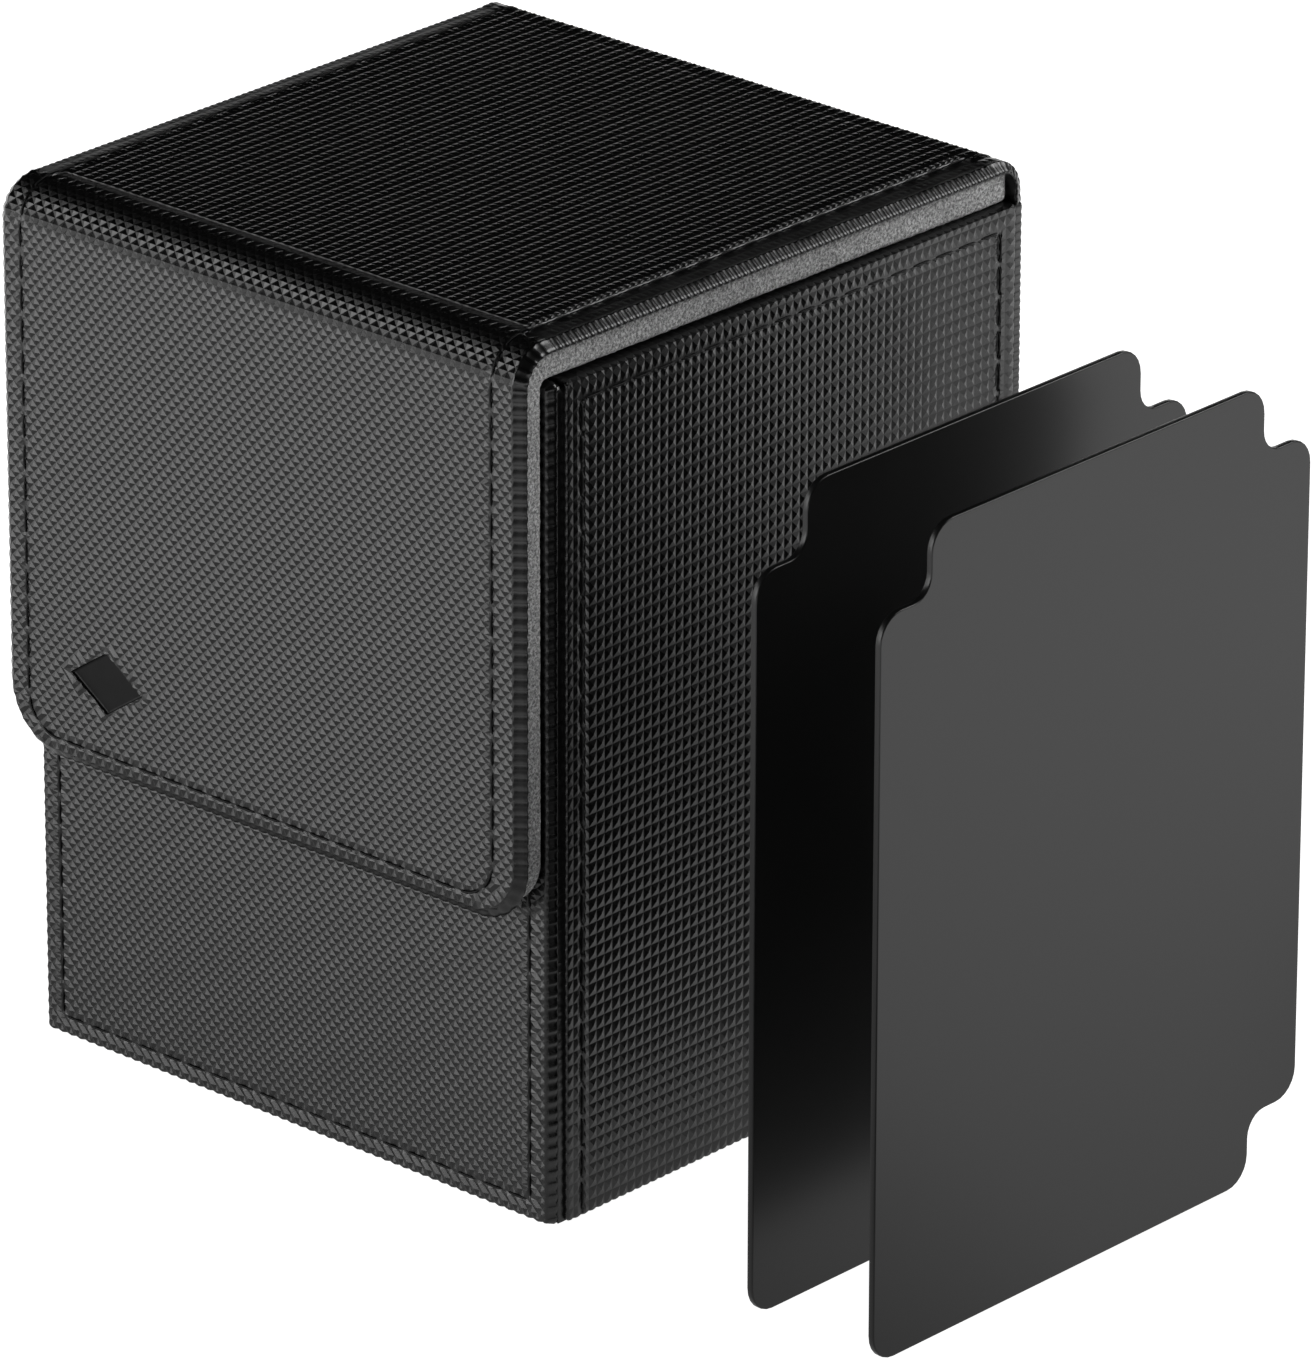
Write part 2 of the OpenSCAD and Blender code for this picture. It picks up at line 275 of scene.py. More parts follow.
def rounded_distance(u, v, lo, hi, radii):
    """How far inside a rounded rectangle each point is. Radii: low left, low right, high right, high left."""
    mid = (np.array(lo) + np.array(hi)) / 2
    half = (np.array(hi) - np.array(lo)) / 2
    du, dv = u - mid[0], v - mid[1]
    r = np.where(dv < 0, np.where(du < 0, radii[0], radii[1]), np.where(du < 0, radii[3], radii[2]))
    qu, qv = np.abs(du) - half[0] + r, np.abs(dv) - half[1] + r
    return r - np.minimum(np.maximum(qu, qv), 0) - np.hypot(np.maximum(qu, 0), np.maximum(qv, 0))


def between(lines, lo, hi, clear=0.12):
    return [x for x in lines if lo + clear < x < hi - clear]


def outline_runs(lo, hi, inset, radii, us, vs, cut_low, cut_high):
    """The sheet's edge, moved in by inset, as runs of points with their outward normals."""
    a0, a1 = lo[0] + inset, hi[0] - inset
    b0 = lo[1] if cut_low else lo[1] + inset
    b1 = hi[1] if cut_high else hi[1] - inset
    r = [max(x - inset, 0.08) for x in radii]

    def bend(cu, cv, radius, start):
        count = max(3, math.ceil(radius * math.pi / 2 / 0.35))
        angles = np.radians(start + np.linspace(0, 90, count + 1))
        return [
            ((cu + radius * math.cos(t), cv + radius * math.sin(t)), (math.cos(t), math.sin(t)))
            for t in angles
        ]

    low_l, high_l = (b0 if cut_low else b0 + r[0]), (b1 if cut_high else b1 - r[3])
    low_r, high_r = (b0 if cut_low else b0 + r[1]), (b1 if cut_high else b1 - r[2])
    left = [((a0, v), (-1, 0)) for v in sorted(between(vs, low_l, high_l), reverse=True)]
    right = [((a1, v), (1, 0)) for v in between(vs, low_r, high_r)]
    low = bend(a0 + r[0], b0 + r[0], r[0], 180)
    low += [((u, b0), (0, -1)) for u in between(us, a0 + r[0], a1 - r[1])]
    low += bend(a1 - r[1], b0 + r[1], r[1], 270)
    high = bend(a1 - r[2], b1 - r[2], r[2], 0)
    high += [((u, b1), (0, 1)) for u in sorted(between(us, a0 + r[3], a1 - r[2]), reverse=True)]
    high += bend(a0 + r[3], b1 - r[3], r[3], 90)
    if cut_high:
        left = [((a0, b1), (-1, 0))] + left
        right = right + [((a1, b1), (1, 0))]
    if cut_low:
        left = left + [((a0, b0), (-1, 0))]
        right = [((a1, b0), (1, 0))] + right
    if cut_low and cut_high:
        runs = [(left, False), (right, False)]
    elif cut_high:
        runs = [(left + low + right, False)]
    else:
        runs = [(left + low + right + high, True)]
    return [(np.array([p for p, _ in run]), np.array([m for _, m in run]), closed) for run, closed in runs]


def triangulate(points, edges):
    """Triangles over points, keeping the edges given."""
    found = delaunay_2d_cdt([Vector(p) for p in points], sorted(edges), [], 0, 1e-7, True)
    origin = [o[0] if o else -1 for o in found[3]]
    return [t for t in ([origin[i] for i in face] for face in found[2]) if min(t) >= 0]


def edge_profile(thick, fold, lean=0.0):
    """Rings round a sheet's edge, from its face to its back: how far out, how deep, which way, how far along.
    The edge leans outwards by lean on its way to the back."""
    rings, gone = [], 0.0
    count = max(3, math.ceil(fold * math.pi / 2 / 0.36))
    for k in range(count + 1):
        t = k / count * math.pi / 2
        rings.append((fold * math.sin(t), -fold + fold * math.cos(t), t, fold * t))
    gone = fold * math.pi / 2
    band = thick - 2 * fold
    if band > 0.05:
        pieces = max(1, math.ceil(band / 0.4))
        for k in range(1, pieces):
            share = k / pieces
            rings.append((fold + lean * share, -fold - share * band, math.pi / 2, gone + share * band))
        gone += band
        rings.append((fold + lean, -thick + fold, math.pi / 2, gone))
    for k in range(1, count + 1):
        t = math.pi / 2 + k / count * math.pi / 2
        out, deep = fold * math.sin(t) + lean, -thick + fold + fold * math.cos(t)
        rings.append((out, deep, t, gone + fold * (t - math.pi / 2)))
    return rings


def halved(lines):
    return np.sort(np.concatenate([lines, (lines[1:] + lines[:-1]) / 2]))


def ripple(s, pitch):
    """A row of beads: 1 on their crests, 0 between them."""
    return 1 - (np.abs((s / pitch) % 1 - 0.5) * 2) ** 1.6


def crease_edges(ids, there, cells, off, lift, gu, gv, us, vs, relief):
    """The emboss's own creases between mesh points that lie outside the even part."""
    edges = set()

    def join(p, q):
        mid = (off.ravel()[p] + off.ravel()[q]) / 2
        span = np.hypot(gu.ravel()[p] - gu.ravel()[q], gv.ravel()[p] - gv.ravel()[q])
        if mid > 0.34 + span / 2 or mid > 0.9:
            edges.add((int(p), int(q)))

    open_cells = ~cells & there[:-1, :-1] & there[1:, :-1] & there[:-1, 1:] & there[1:, 1:]
    for i, j in zip(*np.nonzero(open_cells)):
        a, b, c, d = ids[i, j], ids[i + 1, j], ids[i + 1, j + 1], ids[i, j + 1]
        centre = relief(np.array([(us[i] + us[i + 1]) / 2]), np.array([(vs[j] + vs[j + 1]) / 2]))[0][0]
        high = lift.ravel()
        first = abs((high[a] + high[c]) / 2 - centre) <= abs((high[b] + high[d]) / 2 - centre)
        join(*((a, c) if first else (b, d)))
        for p, q in ((a, b), (b, c), (c, d), (d, a)):
            join(*sorted((p, q)))
    return edges


def sewn_points(seams):
    """Mesh points along the seams, and the edges that join them lengthways where no other seam crosses."""
    spots, strands, at = [np.zeros((0, 2))], [], 0
    for seam in seams:
        points = seam.corridor()
        p = np.arange(len(points) - ASIDES)
        q = p + ASIDES
        crossed = np.zeros(len(p), bool)
        for other in seams:
            if other is not seam:
                away = other.near(points[:, 0], points[:, 1])[0]
                crossed |= (np.minimum(away[p], away[q]) < 0.62) & (np.abs(away[p] - away[q]) > 0.001)
        strands += list(zip(p[~crossed] + at, q[~crossed] + at))
        spots.append(points)
        at += len(points)
    return np.concatenate(spots), strands


def loop_edges(start, count, closed):
    span = list(range(start, start + count))
    return list(zip(span, span[1:])) + ([(span[-1], span[0])] if closed else [])


def sheet(
    place, lo, hi, us, vs, relief, thick, fold, radii=(1, 1, 1, 1), seams=(),
    cut_low=False, cut_high=False, coarse=4.0, bends=(), beads=None, lean=0.0,
):
    """A closed sheet with folded edges. us and vs are its mesh lines; a cut end has no fold.
    Returns points, flat faces, smooth faces and heights."""
    inset = fold + lean
    far = 1000.0
    d_lo = (lo[0], lo[1] - (far if cut_low else 0))
    d_hi = (hi[0], hi[1] + (far if cut_high else 0))

    def inside(u, v):
        return rounded_distance(u, v, d_lo, d_hi, radii)

    if cut_low:
        vs = np.concatenate([[lo[1]], vs])
    if cut_high:
        vs = np.concatenate([vs, [hi[1]]])
    gu, gv = np.meshgrid(us, vs, indexing="ij")
    nu, nv = gu.shape
    within = inside(gu, gv) >= inset + 0.1
    off = np.full(gu.shape, 9.0)
    for seam in seams:
        off = np.minimum(off, seam.near(gu, gv)[0])
    clear = within & (off > 0.62)
    cells = clear[:-1, :-1] & clear[1:, :-1] & clear[:-1, 1:] & clear[1:, 1:]
    padded = np.pad(cells, 1)
    covered = padded[:-1, :-1] & padded[1:, :-1] & padded[:-1, 1:] & padded[1:, 1:]
    free = within & ~covered & (off > 0.34)
    ids = np.arange(nu * nv).reshape(nu, nv)

    # the even part of the face, cut along whichever diagonal follows the emboss
    ci, cj = np.nonzero(cells)
    a, b = ids[ci, cj], ids[ci + 1, cj]
    c, d = ids[ci + 1, cj + 1], ids[ci, cj + 1]
    lift, high = relief(gu, gv)
    mid = relief((us[ci] + us[ci + 1]) / 2, (vs[cj] + vs[cj + 1]) / 2)[1]
    h = high.ravel()
    first = np.abs((h[a] + h[c]) / 2 - mid) <= np.abs((h[b] + h[d]) / 2 - mid)
    even = np.concatenate(
        [
            np.stack([a[first], b[first], c[first]], 1),
            np.stack([a[first], c[first], d[first]], 1),
            np.stack([a[~first], b[~first], d[~first]], 1),
            np.stack([b[~first], c[~first], d[~first]], 1),
        ]
    )

    # the rest of the face: along the seams and between the even part and the fold
    edges = set()
    for i, j in zip(*np.nonzero(padded[1:, 1:-1] != padded[:-1, 1:-1])):
        edges.add((ids[i, j], ids[i, j + 1]))
    for i, j in zip(*np.nonzero(padded[1:-1, 1:] != padded[1:-1, :-1])):
        edges.add((ids[i, j], ids[i + 1, j]))
    edges |= crease_edges(ids, free | (covered & within), cells, off, lift, gu, gv, us, vs, relief)
    edge_us, edge_vs = halved(us), halved(vs)
    runs = outline_runs(lo, hi, inset, radii, edge_us, edge_vs, cut_low, cut_high)
    ring_start, at = [], nu * nv
    for run, _, closed in runs:
        ring_start.append(at)
        edges.update(loop_edges(at, len(run), closed))
        at += len(run)
    for cut, j in ((cut_high, nv - 1), (cut_low, 0)):
        if cut:
            row = [ids[i, j] for i in range(nu) if within[i, j]]
            free[within[:, j], j] = True
            left = ring_start[0] if j else ring_start[0] + len(runs[0][0]) - 1
            right = at - 1 if j else ring_start[-1]
            chain = [left] + row + [right]
            edges.update(zip(chain, chain[1:]))
    sewn, strands = sewn_points(seams)
    kept = inside(sewn[:, 0], sewn[:, 1]) >= inset + 0.1
    kept &= (sewn[:, 1] > lo[1] + 0.1) & (sewn[:, 1] < hi[1] - 0.1)
    place_of = at + np.cumsum(kept) - 1
    edges.update((int(place_of[p]), int(place_of[q])) for p, q in strands if kept[p] and kept[q])
    sewn = sewn[kept]
    flat = np.concatenate([np.stack([gu.ravel(), gv.ravel()], 1)] + [run for run, _, _ in runs] + [sewn])
    used = sorted(set(ids[free].tolist()) | set(range(nu * nv, len(flat))))
    used = sorted(set(used) | {int(k) for edge in edges for k in edge})
    local = {k: n for n, k in enumerate(used)}
    edges = {(local[int(p)], local[int(q)]) for p, q in edges if p != q}
    rest = np.array([[used[k] for k in t] for t in triangulate(flat[used], edges)])
    centre = flat[rest].mean(1)
    ku = np.clip(np.searchsorted(us, centre[:, 0]) - 1, 0, nu - 2)
    kv = np.clip(np.searchsorted(vs, centre[:, 1]) - 1, 0, nv - 2)
    over = (centre[:, 0] > us[0]) & (centre[:, 0] < us[-1])
    over &= (centre[:, 1] > vs[0]) & (centre[:, 1] < vs[-1])
    rest = rest[~(over & cells[ku, kv])]

    # points: the face, the seams, then each ring round the edge
    points, heights = [place(gu.ravel(), gv.ravel(), lift.ravel())], [h]
    total = nu * nv
    rename = np.arange(len(flat))
    if len(sewn):
        sewn_lift, sewn_high = relief(sewn[:, 0], sewn[:, 1])
        points.append(place(sewn[:, 0], sewn[:, 1], sewn_lift))
        heights.append(sewn_high)
        rename[at:] = np.arange(total, total + len(sewn))
        total += len(sewn)
    folds, rings = [], []
    for start, (run, normals, closed) in zip(ring_start, runs):
        layers = []
        profile = edge_profile(thick, fold, lean)
        n, high = relief(run[:, 0], run[:, 1])
        if beads:
            crest, rise = beads(run[:, 0], run[:, 1], normals)
        else:
            crest, rise = relief(run[:, 0], run[:, 1])[1], rng.normal(0, 0.03, len(run))
        for out, deep, angle, along in profile:
            swell = rise * math.sin(math.pi * along / profile[-1][3]) ** 0.6
            where = run + normals * (out + swell)[:, None]
            layers.append(np.arange(total, total + len(run)))
            points.append(place(where[:, 0], where[:, 1], deep + n * max(0, math.cos(angle))))
            heights.append(high * max(0, math.cos(angle)) + crest * math.sin(angle))
            total += len(run)
        rings.append(layers)
        rename[start : start + len(run)] = layers[0]
        for upper, lower in zip(layers, layers[1:]):
            quad = np.stack([upper, np.roll(upper, -1), np.roll(lower, -1), lower], 1)
            folds.append(quad if closed else quad[:-1])

    # the back, with few points
    bu, bv = np.meshgrid(
        grid_lines(lo[0] + inset, hi[0] - inset, coarse),
        np.unique(np.concatenate([grid_lines(lo[1], hi[1], coarse), between(bends, lo[1], hi[1])])),
        indexing="ij",
    )
    bu, bv = bu.ravel(), bv.ravel()
    keep = inside(bu, bv) >= inset + 0.3
    bu, bv = bu[keep], bv[keep]
    rim = np.concatenate([run for run, _, _ in runs])
    rim_ids = np.concatenate([layers[-1] for layers in rings])
    spots = np.concatenate([rim, np.stack([bu, bv], 1)])
    names = np.concatenate([rim_ids, np.arange(total, total + len(bu))])
    edges, gone = set(), 0
    for run, _, closed in runs:
        edges.update(loop_edges(gone, len(run), closed))
        gone += len(run)
    if cut_high:
        edges.add((0, len(rim) - 1))
    if cut_low:
        edges.add((len(runs[0][0]) - 1, len(runs[0][0])))
    back = names[np.array(triangulate(spots, edges))]
    points.append(place(bu, bv, np.full(len(bu), -thick)))
    heights.append(np.zeros(len(bu)))
    smooth = np.concatenate(folds).tolist() + back.tolist()
    return np.concatenate(points), even.tolist() + rename[rest].tolist(), smooth, np.concatenate(heights)


# --- Objects ---
def make_object(name, parts, material):
    """One piece from several (points, flat faces, smooth faces, heights), closed and facing outwards."""
    verts, faces, smooth, heights, at = [], [], [], [], 0
    for points, flat_faces, smooth_faces, high in parts:
        verts.append(points)
        heights.append(high)
        faces += [[i + at for i in f] for f in flat_faces + smooth_faces]
        smooth += [False] * len(flat_faces) + [True] * len(smooth_faces)
        at += len(points)
    verts, heights = np.concatenate(verts) * MM, np.concatenate(heights)
    used = np.unique(np.concatenate([np.array(f) for f in faces]))
    rename = np.zeros(len(verts), int)
    rename[used] = np.arange(len(used))
    mesh = bpy.data.meshes.new(name)
    mesh.from_pydata(verts[used].tolist(), [], [[int(rename[i]) for i in f] for f in faces])
    # The emboss height; the leather material also turns it into painted shade, darker in the valleys and
    # between the beads
    height = mesh.attributes.new("height", "FLOAT", "POINT")
    height.data.foreach_set("value", heights[used].astype(np.float32))
    mesh.polygons.foreach_set("use_smooth", smooth)
    bm = bmesh.new()
    bm.from_mesh(mesh)
    open_edges = [e for e in bm.edges if len(e.link_faces) == 1]
    if open_edges:
        bmesh.ops.holes_fill(bm, edges=open_edges, sides=0)
    for edge in open_edges:
        edge.smooth = False
    bmesh.ops.recalc_face_normals(bm, faces=bm.faces)
    bm.to_mesh(mesh)
    bm.free()
    mesh.materials.append(material)
    piece = bpy.data.objects.new(name, mesh)
    bpy.context.scene.collection.objects.link(piece)
    return piece


# --- Materials ---
def new_material(name):
    material = bpy.data.materials.new(name)
    material.use_nodes = True
    tree = material.node_tree
    return material, tree.nodes, tree.links, tree.nodes["Principled BSDF"]


def add(nodes, kind, **values):
    node = nodes.new(kind)
    for key, value in values.items():
        if key in node.inputs:
            node.inputs[key].default_value = value
        else:
            setattr(node, key, value)
    return node


def ramp(nodes, stops):
    node = nodes.new("ShaderNodeValToRGB")
    node.color_ramp.elements[0].position, node.color_ramp.elements[1].position = stops[0][0], stops[-1][0]
    for _ in stops[1:-1]:
        node.color_ramp.elements.new(0.5)
    for element, (position, colour) in zip(node.color_ramp.elements, stops):
        element.position = position
        element.color = (*colour, 1) if len(colour) == 3 else colour
    return node


def grey(value):
    return (value, value, value)


def leather_material():
    material, nodes, links, shader = new_material("embossed_leather")
    where = nodes.new("ShaderNodeTexCoord")
    high = add(nodes, "ShaderNodeAttribute", attribute_name="height")
    # Painted shade: the base colour follows the emboss height, so the valleys are darker than the tips and
    # crests
    tone = ramp(nodes, [(0.0, grey(0.0005)), (0.45, grey(0.0012)), (1.0, grey(0.0022))])
    blotch = add(nodes, "ShaderNodeTexNoise", Scale=90.0, Detail=4.0)
    mix = add(nodes, "ShaderNodeMix", data_type="RGBA", blend_type="MULTIPLY")
    mix.inputs["Factor"].default_value = 0.5
    blotch_tone = ramp(nodes, [(0.3, grey(0.6)), (0.7, grey(1.0))])
    links.new(where.outputs["Object"], blotch.inputs["Vector"])
    links.new(blotch.outputs["Fac"], blotch_tone.inputs["Fac"])
    links.new(high.outputs["Fac"], tone.inputs["Fac"])
    links.new(tone.outputs["Color"], mix.inputs["A"])
    links.new(blotch_tone.outputs["Color"], mix.inputs["B"])
    links.new(mix.outputs["Result"], shader.inputs["Base Color"])
    rough = add(nodes, "ShaderNodeMapRange")
    rough.inputs["To Min"].default_value = 0.36
    rough.inputs["To Max"].default_value = 0.25
    links.new(high.outputs["Fac"], rough.inputs["Value"])
    links.new(rough.outputs["Result"], shader.inputs["Roughness"])
    grain = add(nodes, "ShaderNodeTexNoise", Scale=5200.0, Detail=3.0, Roughness=0.6)
    bump = add(nodes, "ShaderNodeBump", Strength=0.3, Distance=0.000018)
    links.new(where.outputs["Object"], grain.inputs["Vector"])
    links.new(grain.outputs["Fac"], bump.inputs["Height"])
    links.new(bump.outputs["Normal"], shader.inputs["Normal"])
    shader.inputs["IOR"].default_value = 1.6
    return material


def microfibre_material():
    material, nodes, links, shader = new_material("microfibre")
    where = nodes.new("ShaderNodeTexCoord")
    fibre = add(nodes, "ShaderNodeTexNoise", Scale=3000.0, Detail=5.0, Roughness=0.7, Distortion=0.6)
    patch = add(nodes, "ShaderNodeTexNoise", Scale=350.0, Detail=3.0)
    tone = ramp(nodes, [(0.40, grey(0.17)), (0.5, grey(0.46)), (0.60, grey(0.86))])
    shade = ramp(nodes, [(0.3, grey(0.72)), (0.7, grey(1.0))])
    mix = add(nodes, "ShaderNodeMix", data_type="RGBA", blend_type="MULTIPLY")
    mix.inputs["Factor"].default_value = 0.8
    links.new(where.outputs["Object"], fibre.inputs["Vector"])
    links.new(where.outputs["Object"], patch.inputs["Vector"])
    links.new(fibre.outputs["Fac"], tone.inputs["Fac"])
    links.new(patch.outputs["Fac"], shade.inputs["Fac"])
    links.new(tone.outputs["Color"], mix.inputs["A"])
    links.new(shade.outputs["Color"], mix.inputs["B"])
    links.new(mix.outputs["Result"], shader.inputs["Base Color"])
    shader.inputs["Roughness"].default_value = 0.95
    shader.inputs["Sheen Weight"].default_value = 0.35
    shader.inputs["Sheen Roughness"].default_value = 0.5
    shader.inputs["Specular IOR Level"].default_value = 0.2
    bump = add(nodes, "ShaderNodeBump", Strength=0.8, Distance=0.00012)
    links.new(fibre.outputs["Fac"], bump.inputs["Height"])
    links.new(bump.outputs["Normal"], shader.inputs["Normal"])
    return material


def thread_material():
    material, nodes, links, shader = new_material("sewing_thread")
    where = nodes.new("ShaderNodeTexCoord")
    fibre = add(nodes, "ShaderNodeTexNoise", Scale=7000.0, Detail=2.0)
    tone = ramp(nodes, [(0.3, grey(0.001)), (0.75, grey(0.004))])
    bump = add(nodes, "ShaderNodeBump", Strength=0.5, Distance=0.00005)
    links.new(where.outputs["Object"], fibre.inputs["Vector"])
    links.new(fibre.outputs["Fac"], tone.inputs["Fac"])
    links.new(tone.outputs["Color"], shader.inputs["Base Color"])
    links.new(fibre.outputs["Fac"], bump.inputs["Height"])
    links.new(bump.outputs["Normal"], shader.inputs["Normal"])
    shader.inputs["Roughness"].default_value = 0.6
    shader.inputs["Specular IOR Level"].default_value = 0.25
    return material


def divider_material():
    material, nodes, links, shader = new_material("divider_plastic")
    where = nodes.new("ShaderNodeTexCoord")
    cloud = add(nodes, "ShaderNodeTexNoise", Scale=60.0, Detail=5.0, Roughness=0.6)
    tone = ramp(nodes, [(0.3, grey(0.0045)), (0.7, grey(0.0060))])
    gloss = add(nodes, "ShaderNodeMapRange")
    gloss.inputs["To Min"].default_value = 0.27
    gloss.inputs["To Max"].default_value = 0.33
    grain = add(nodes, "ShaderNodeTexNoise", Scale=9000.0, Detail=2.0)
    bump = add(nodes, "ShaderNodeBump", Strength=0.06, Distance=0.00002)
    for texture in (cloud, grain):
        links.new(where.outputs["Object"], texture.inputs["Vector"])
    links.new(cloud.outputs["Fac"], tone.inputs["Fac"])
    links.new(tone.outputs["Color"], shader.inputs["Base Color"])
    links.new(cloud.outputs["Fac"], gloss.inputs["Value"])
    links.new(gloss.outputs["Result"], shader.inputs["Roughness"])
    links.new(grain.outputs["Fac"], bump.inputs["Height"])
    links.new(bump.outputs["Normal"], shader.inputs["Normal"])
    shader.inputs["Specular IOR Level"].default_value = 0.44
    return material


def speckled_material(name, low, high, scale, roughness, metallic=0.0):
    """A plain hidden material with its own grain: board, or plated steel."""
    material, nodes, links, shader = new_material(name)
    where = nodes.new("ShaderNodeTexCoord")
    speck = add(nodes, "ShaderNodeTexNoise", Scale=scale, Detail=6.0, Roughness=0.7)
    tone = ramp(nodes, [(0.3, low), (0.7, high)])
    bump = add(nodes, "ShaderNodeBump", Strength=0.3, Distance=0.00005)
    links.new(where.outputs["Object"], speck.inputs["Vector"])
    links.new(speck.outputs["Fac"], tone.inputs["Fac"])
    links.new(tone.outputs["Color"], shader.inputs["Base Color"])
    links.new(speck.outputs["Fac"], bump.inputs["Height"])
    links.new(bump.outputs["Normal"], shader.inputs["Normal"])
    shader.inputs["Roughness"].default_value = roughness
    shader.inputs["Metallic"].default_value = metallic
    return material


def foil_material():
    material, nodes, links, shader = new_material("debossed_foil")
    where = nodes.new("ShaderNodeTexCoord")
    cloud = add(nodes, "ShaderNodeTexNoise", Scale=900.0, Detail=3.0)
    tone = ramp(nodes, [(0.3, grey(0.002)), (0.7, grey(0.004))])
    links.new(where.outputs["Object"], cloud.inputs["Vector"])
    links.new(cloud.outputs["Fac"], tone.inputs["Fac"])
    links.new(tone.outputs["Color"], shader.inputs["Base Color"])
    bump = add(nodes, "ShaderNodeBump", Strength=0.15, Distance=0.00004)
    links.new(cloud.outputs["Fac"], bump.inputs["Height"])
    links.new(bump.outputs["Normal"], shader.inputs["Normal"])
    shader.inputs["Roughness"].default_value = 0.4
    shader.inputs["Specular IOR Level"].default_value = 0.2
    return material


LEATHER = leather_material()
MICROFIBRE = microfibre_material()
THREAD = thread_material()
PLASTIC = divider_material()
FOIL = foil_material()
BOARD = speckled_material("greyboard", (0.20, 0.18, 0.15), (0.42, 0.39, 0.33), 900.0, 0.9)
PLATED = speckled_material("plated_magnet", grey(0.55), grey(0.68), 2500.0, 0.3, 1.0)


# --- Threads ---
def stitches(seam, place, face):
    """Every stitch of a seam: a short rounded thread whose ends go down into the leather."""
    sides, steps = 8, 8
    turn = np.arange(sides) / sides * 2 * math.pi
    along = np.linspace(-0.5, 0.5, steps + 1)
    points, faces, at = [], [], 0
    for k in range(seam.count):
        s = (k + 0.5) * seam.pitch + along * STITCH_L
        spot = seam.path.at(s)[0]
        dip = (2 * np.abs(along)) ** 4
        deep = face - 0.10 - 0.30 * dip
        radius = THREAD_R * (1 - 0.35 * (2 * np.abs(along)) ** 3)
        centre = place(spot[:, 0], spot[:, 1], deep)
        above = place(spot[:, 0], spot[:, 1], deep + 0.1) - centre
        above /= np.linalg.norm(above, axis=1)[:, None]
        ahead = np.gradient(centre, axis=0)
        ahead /= np.linalg.norm(ahead, axis=1)[:, None]
        beside = np.cross(ahead, above)
        beside /= np.linalg.norm(beside, axis=1)[:, None]
        ring = (
            centre[:, None]
            + radius[:, None, None] * np.cos(turn)[None, :, None] * beside[:, None] * 1.1
            + radius[:, None, None] * np.sin(turn)[None, :, None] * above[:, None] * 0.85
        )
        points.append(ring.reshape(-1, 3))
        for i in range(steps):
            for j in range(sides):
                p, q = at + i * sides + j, at + i * sides + (j + 1) % sides
                faces.append([p, q, q + sides, p + sides])
        faces.append([at + j for j in range(sides)])
        faces.append([at + steps * sides + j for j in reversed(range(sides))])
        at += (steps + 1) * sides
    points = np.concatenate(points)
    return points, [], faces, np.zeros(len(points))


# --- Lid ---
RIM_FOLD = 0.25                  # how sharply the leather turns over its own edge
LEAN = 1.1                       # how far the turned edge leans outwards on its way to the back
lid_w = (LID_LO[0], LID_HI[0])
flap_run = LID_HI[2] - FRONT_TOP_R - LID_LO[2]
top_run = LID_HI[1] - LID_LO[1] - FRONT_TOP_R
bend_run = FRONT_TOP_R * math.pi / 2
lid_path = Path((LID_LO[1], LID_LO[2]), 90, [(flap_run, 0), (bend_run, -90), (top_run, 0)])
lid_place = placer(lid_path, (0, 1, 2))
lid_change = flap_run + bend_run + 0.2          # where the flap's emboss gives way to the top's
TOP_BAND = 1.6                                  # smooth leather between the two


def lid_emboss(u, v):
    flap = diagonal(u, v, PITCH)
    top = 1 - 0.77 * (1 - rows(u, v - lid_change, PITCH, TOP_PITCH))
    past = np.clip((v - lid_change - TOP_BAND) / 0.3, 0, 1)
    rim = np.clip((np.abs(u - LID_SEAM_MID) - LID_SEAM_HALF + 0.2) / 0.4, 0, 1)
    top = 0.6 + (top - 0.6) * past * (1 - 0.85 * rim)
    short = LID_SEAM_RIGHT - 0.24 - u
    top = np.where((short > 0) & (short < 0.5), 0.6 - short, top)      # a crease beside the stitches
    return np.where(v < lid_change, flap, top)


LID_SEAM_MID = (LID_SEAM_LEFT + LID_SEAM_RIGHT) / 2
LID_SEAM_HALF = (LID_SEAM_RIGHT - LID_SEAM_LEFT) / 2
seam_run = lid_path.length - LID_SEAM_LOW - SEAM_CORNER_R
corner_run = SEAM_CORNER_R * math.pi / 2
lid_seam = Seam(
    (LID_SEAM_LEFT, lid_path.length),
    -90,
    [
        (seam_run, 0),
        (corner_run, 90),
        (2 * (LID_SEAM_HALF - SEAM_CORNER_R), 0),
        (corner_run, 90),
        (seam_run, 0),
    ],
)
lid_us = grid_lines(*lid_w, PITCH / PER_PITCH)
lid_vs = np.concatenate(
    [
        grid_lines(0, lid_change, PITCH / PER_PITCH),
        lid_change + grid_lines(0, lid_path.length - lid_change, TOP_PITCH / PER_PITCH),
    ]
)

# The motif: a lozenge pressed into the flap
MOTIF = np.array([-23.6, 48.3 - LID_LO[2]])
MOTIF_HALF = np.array([5.5, 3.7])


def motif_share(u, v):
    """1 inside the lozenge, falling to 0 at its edge."""
    reach = np.abs(u - MOTIF[0]) / MOTIF_HALF[0] + np.abs(v - MOTIF[1]) / MOTIF_HALF[1]
    return np.clip((1 - reach) / 0.05, 0, 1)


def motif_sides():
    """The lozenge's four sides, as lines that the mesh follows."""
    corners = [MOTIF + MOTIF_HALF * turn for turn in ((1, 0), (0, 1), (-1, 0), (0, -1))]
    sides = []
    for a, b in zip(corners, corners[1:] + corners[:1]):
        along = b - a
        heading = math.degrees(math.atan2(along[1], along[0]))
        sides.append(Seam(a, heading, [(float(np.hypot(*along)), 0)]))
    return sides


def lid_beads(u, v, normals):
    """How far the embossed edge stands out: one bead to each row that meets it."""
    up = np.where(v < lid_change, ripple(v, PITCH), ripple(v - lid_change, TOP_PITCH))
    crest = np.where(np.abs(normals[:, 0]) > 0.7, up, ripple(u, PITCH))
    return crest, 0.22 * (crest - 0.75)


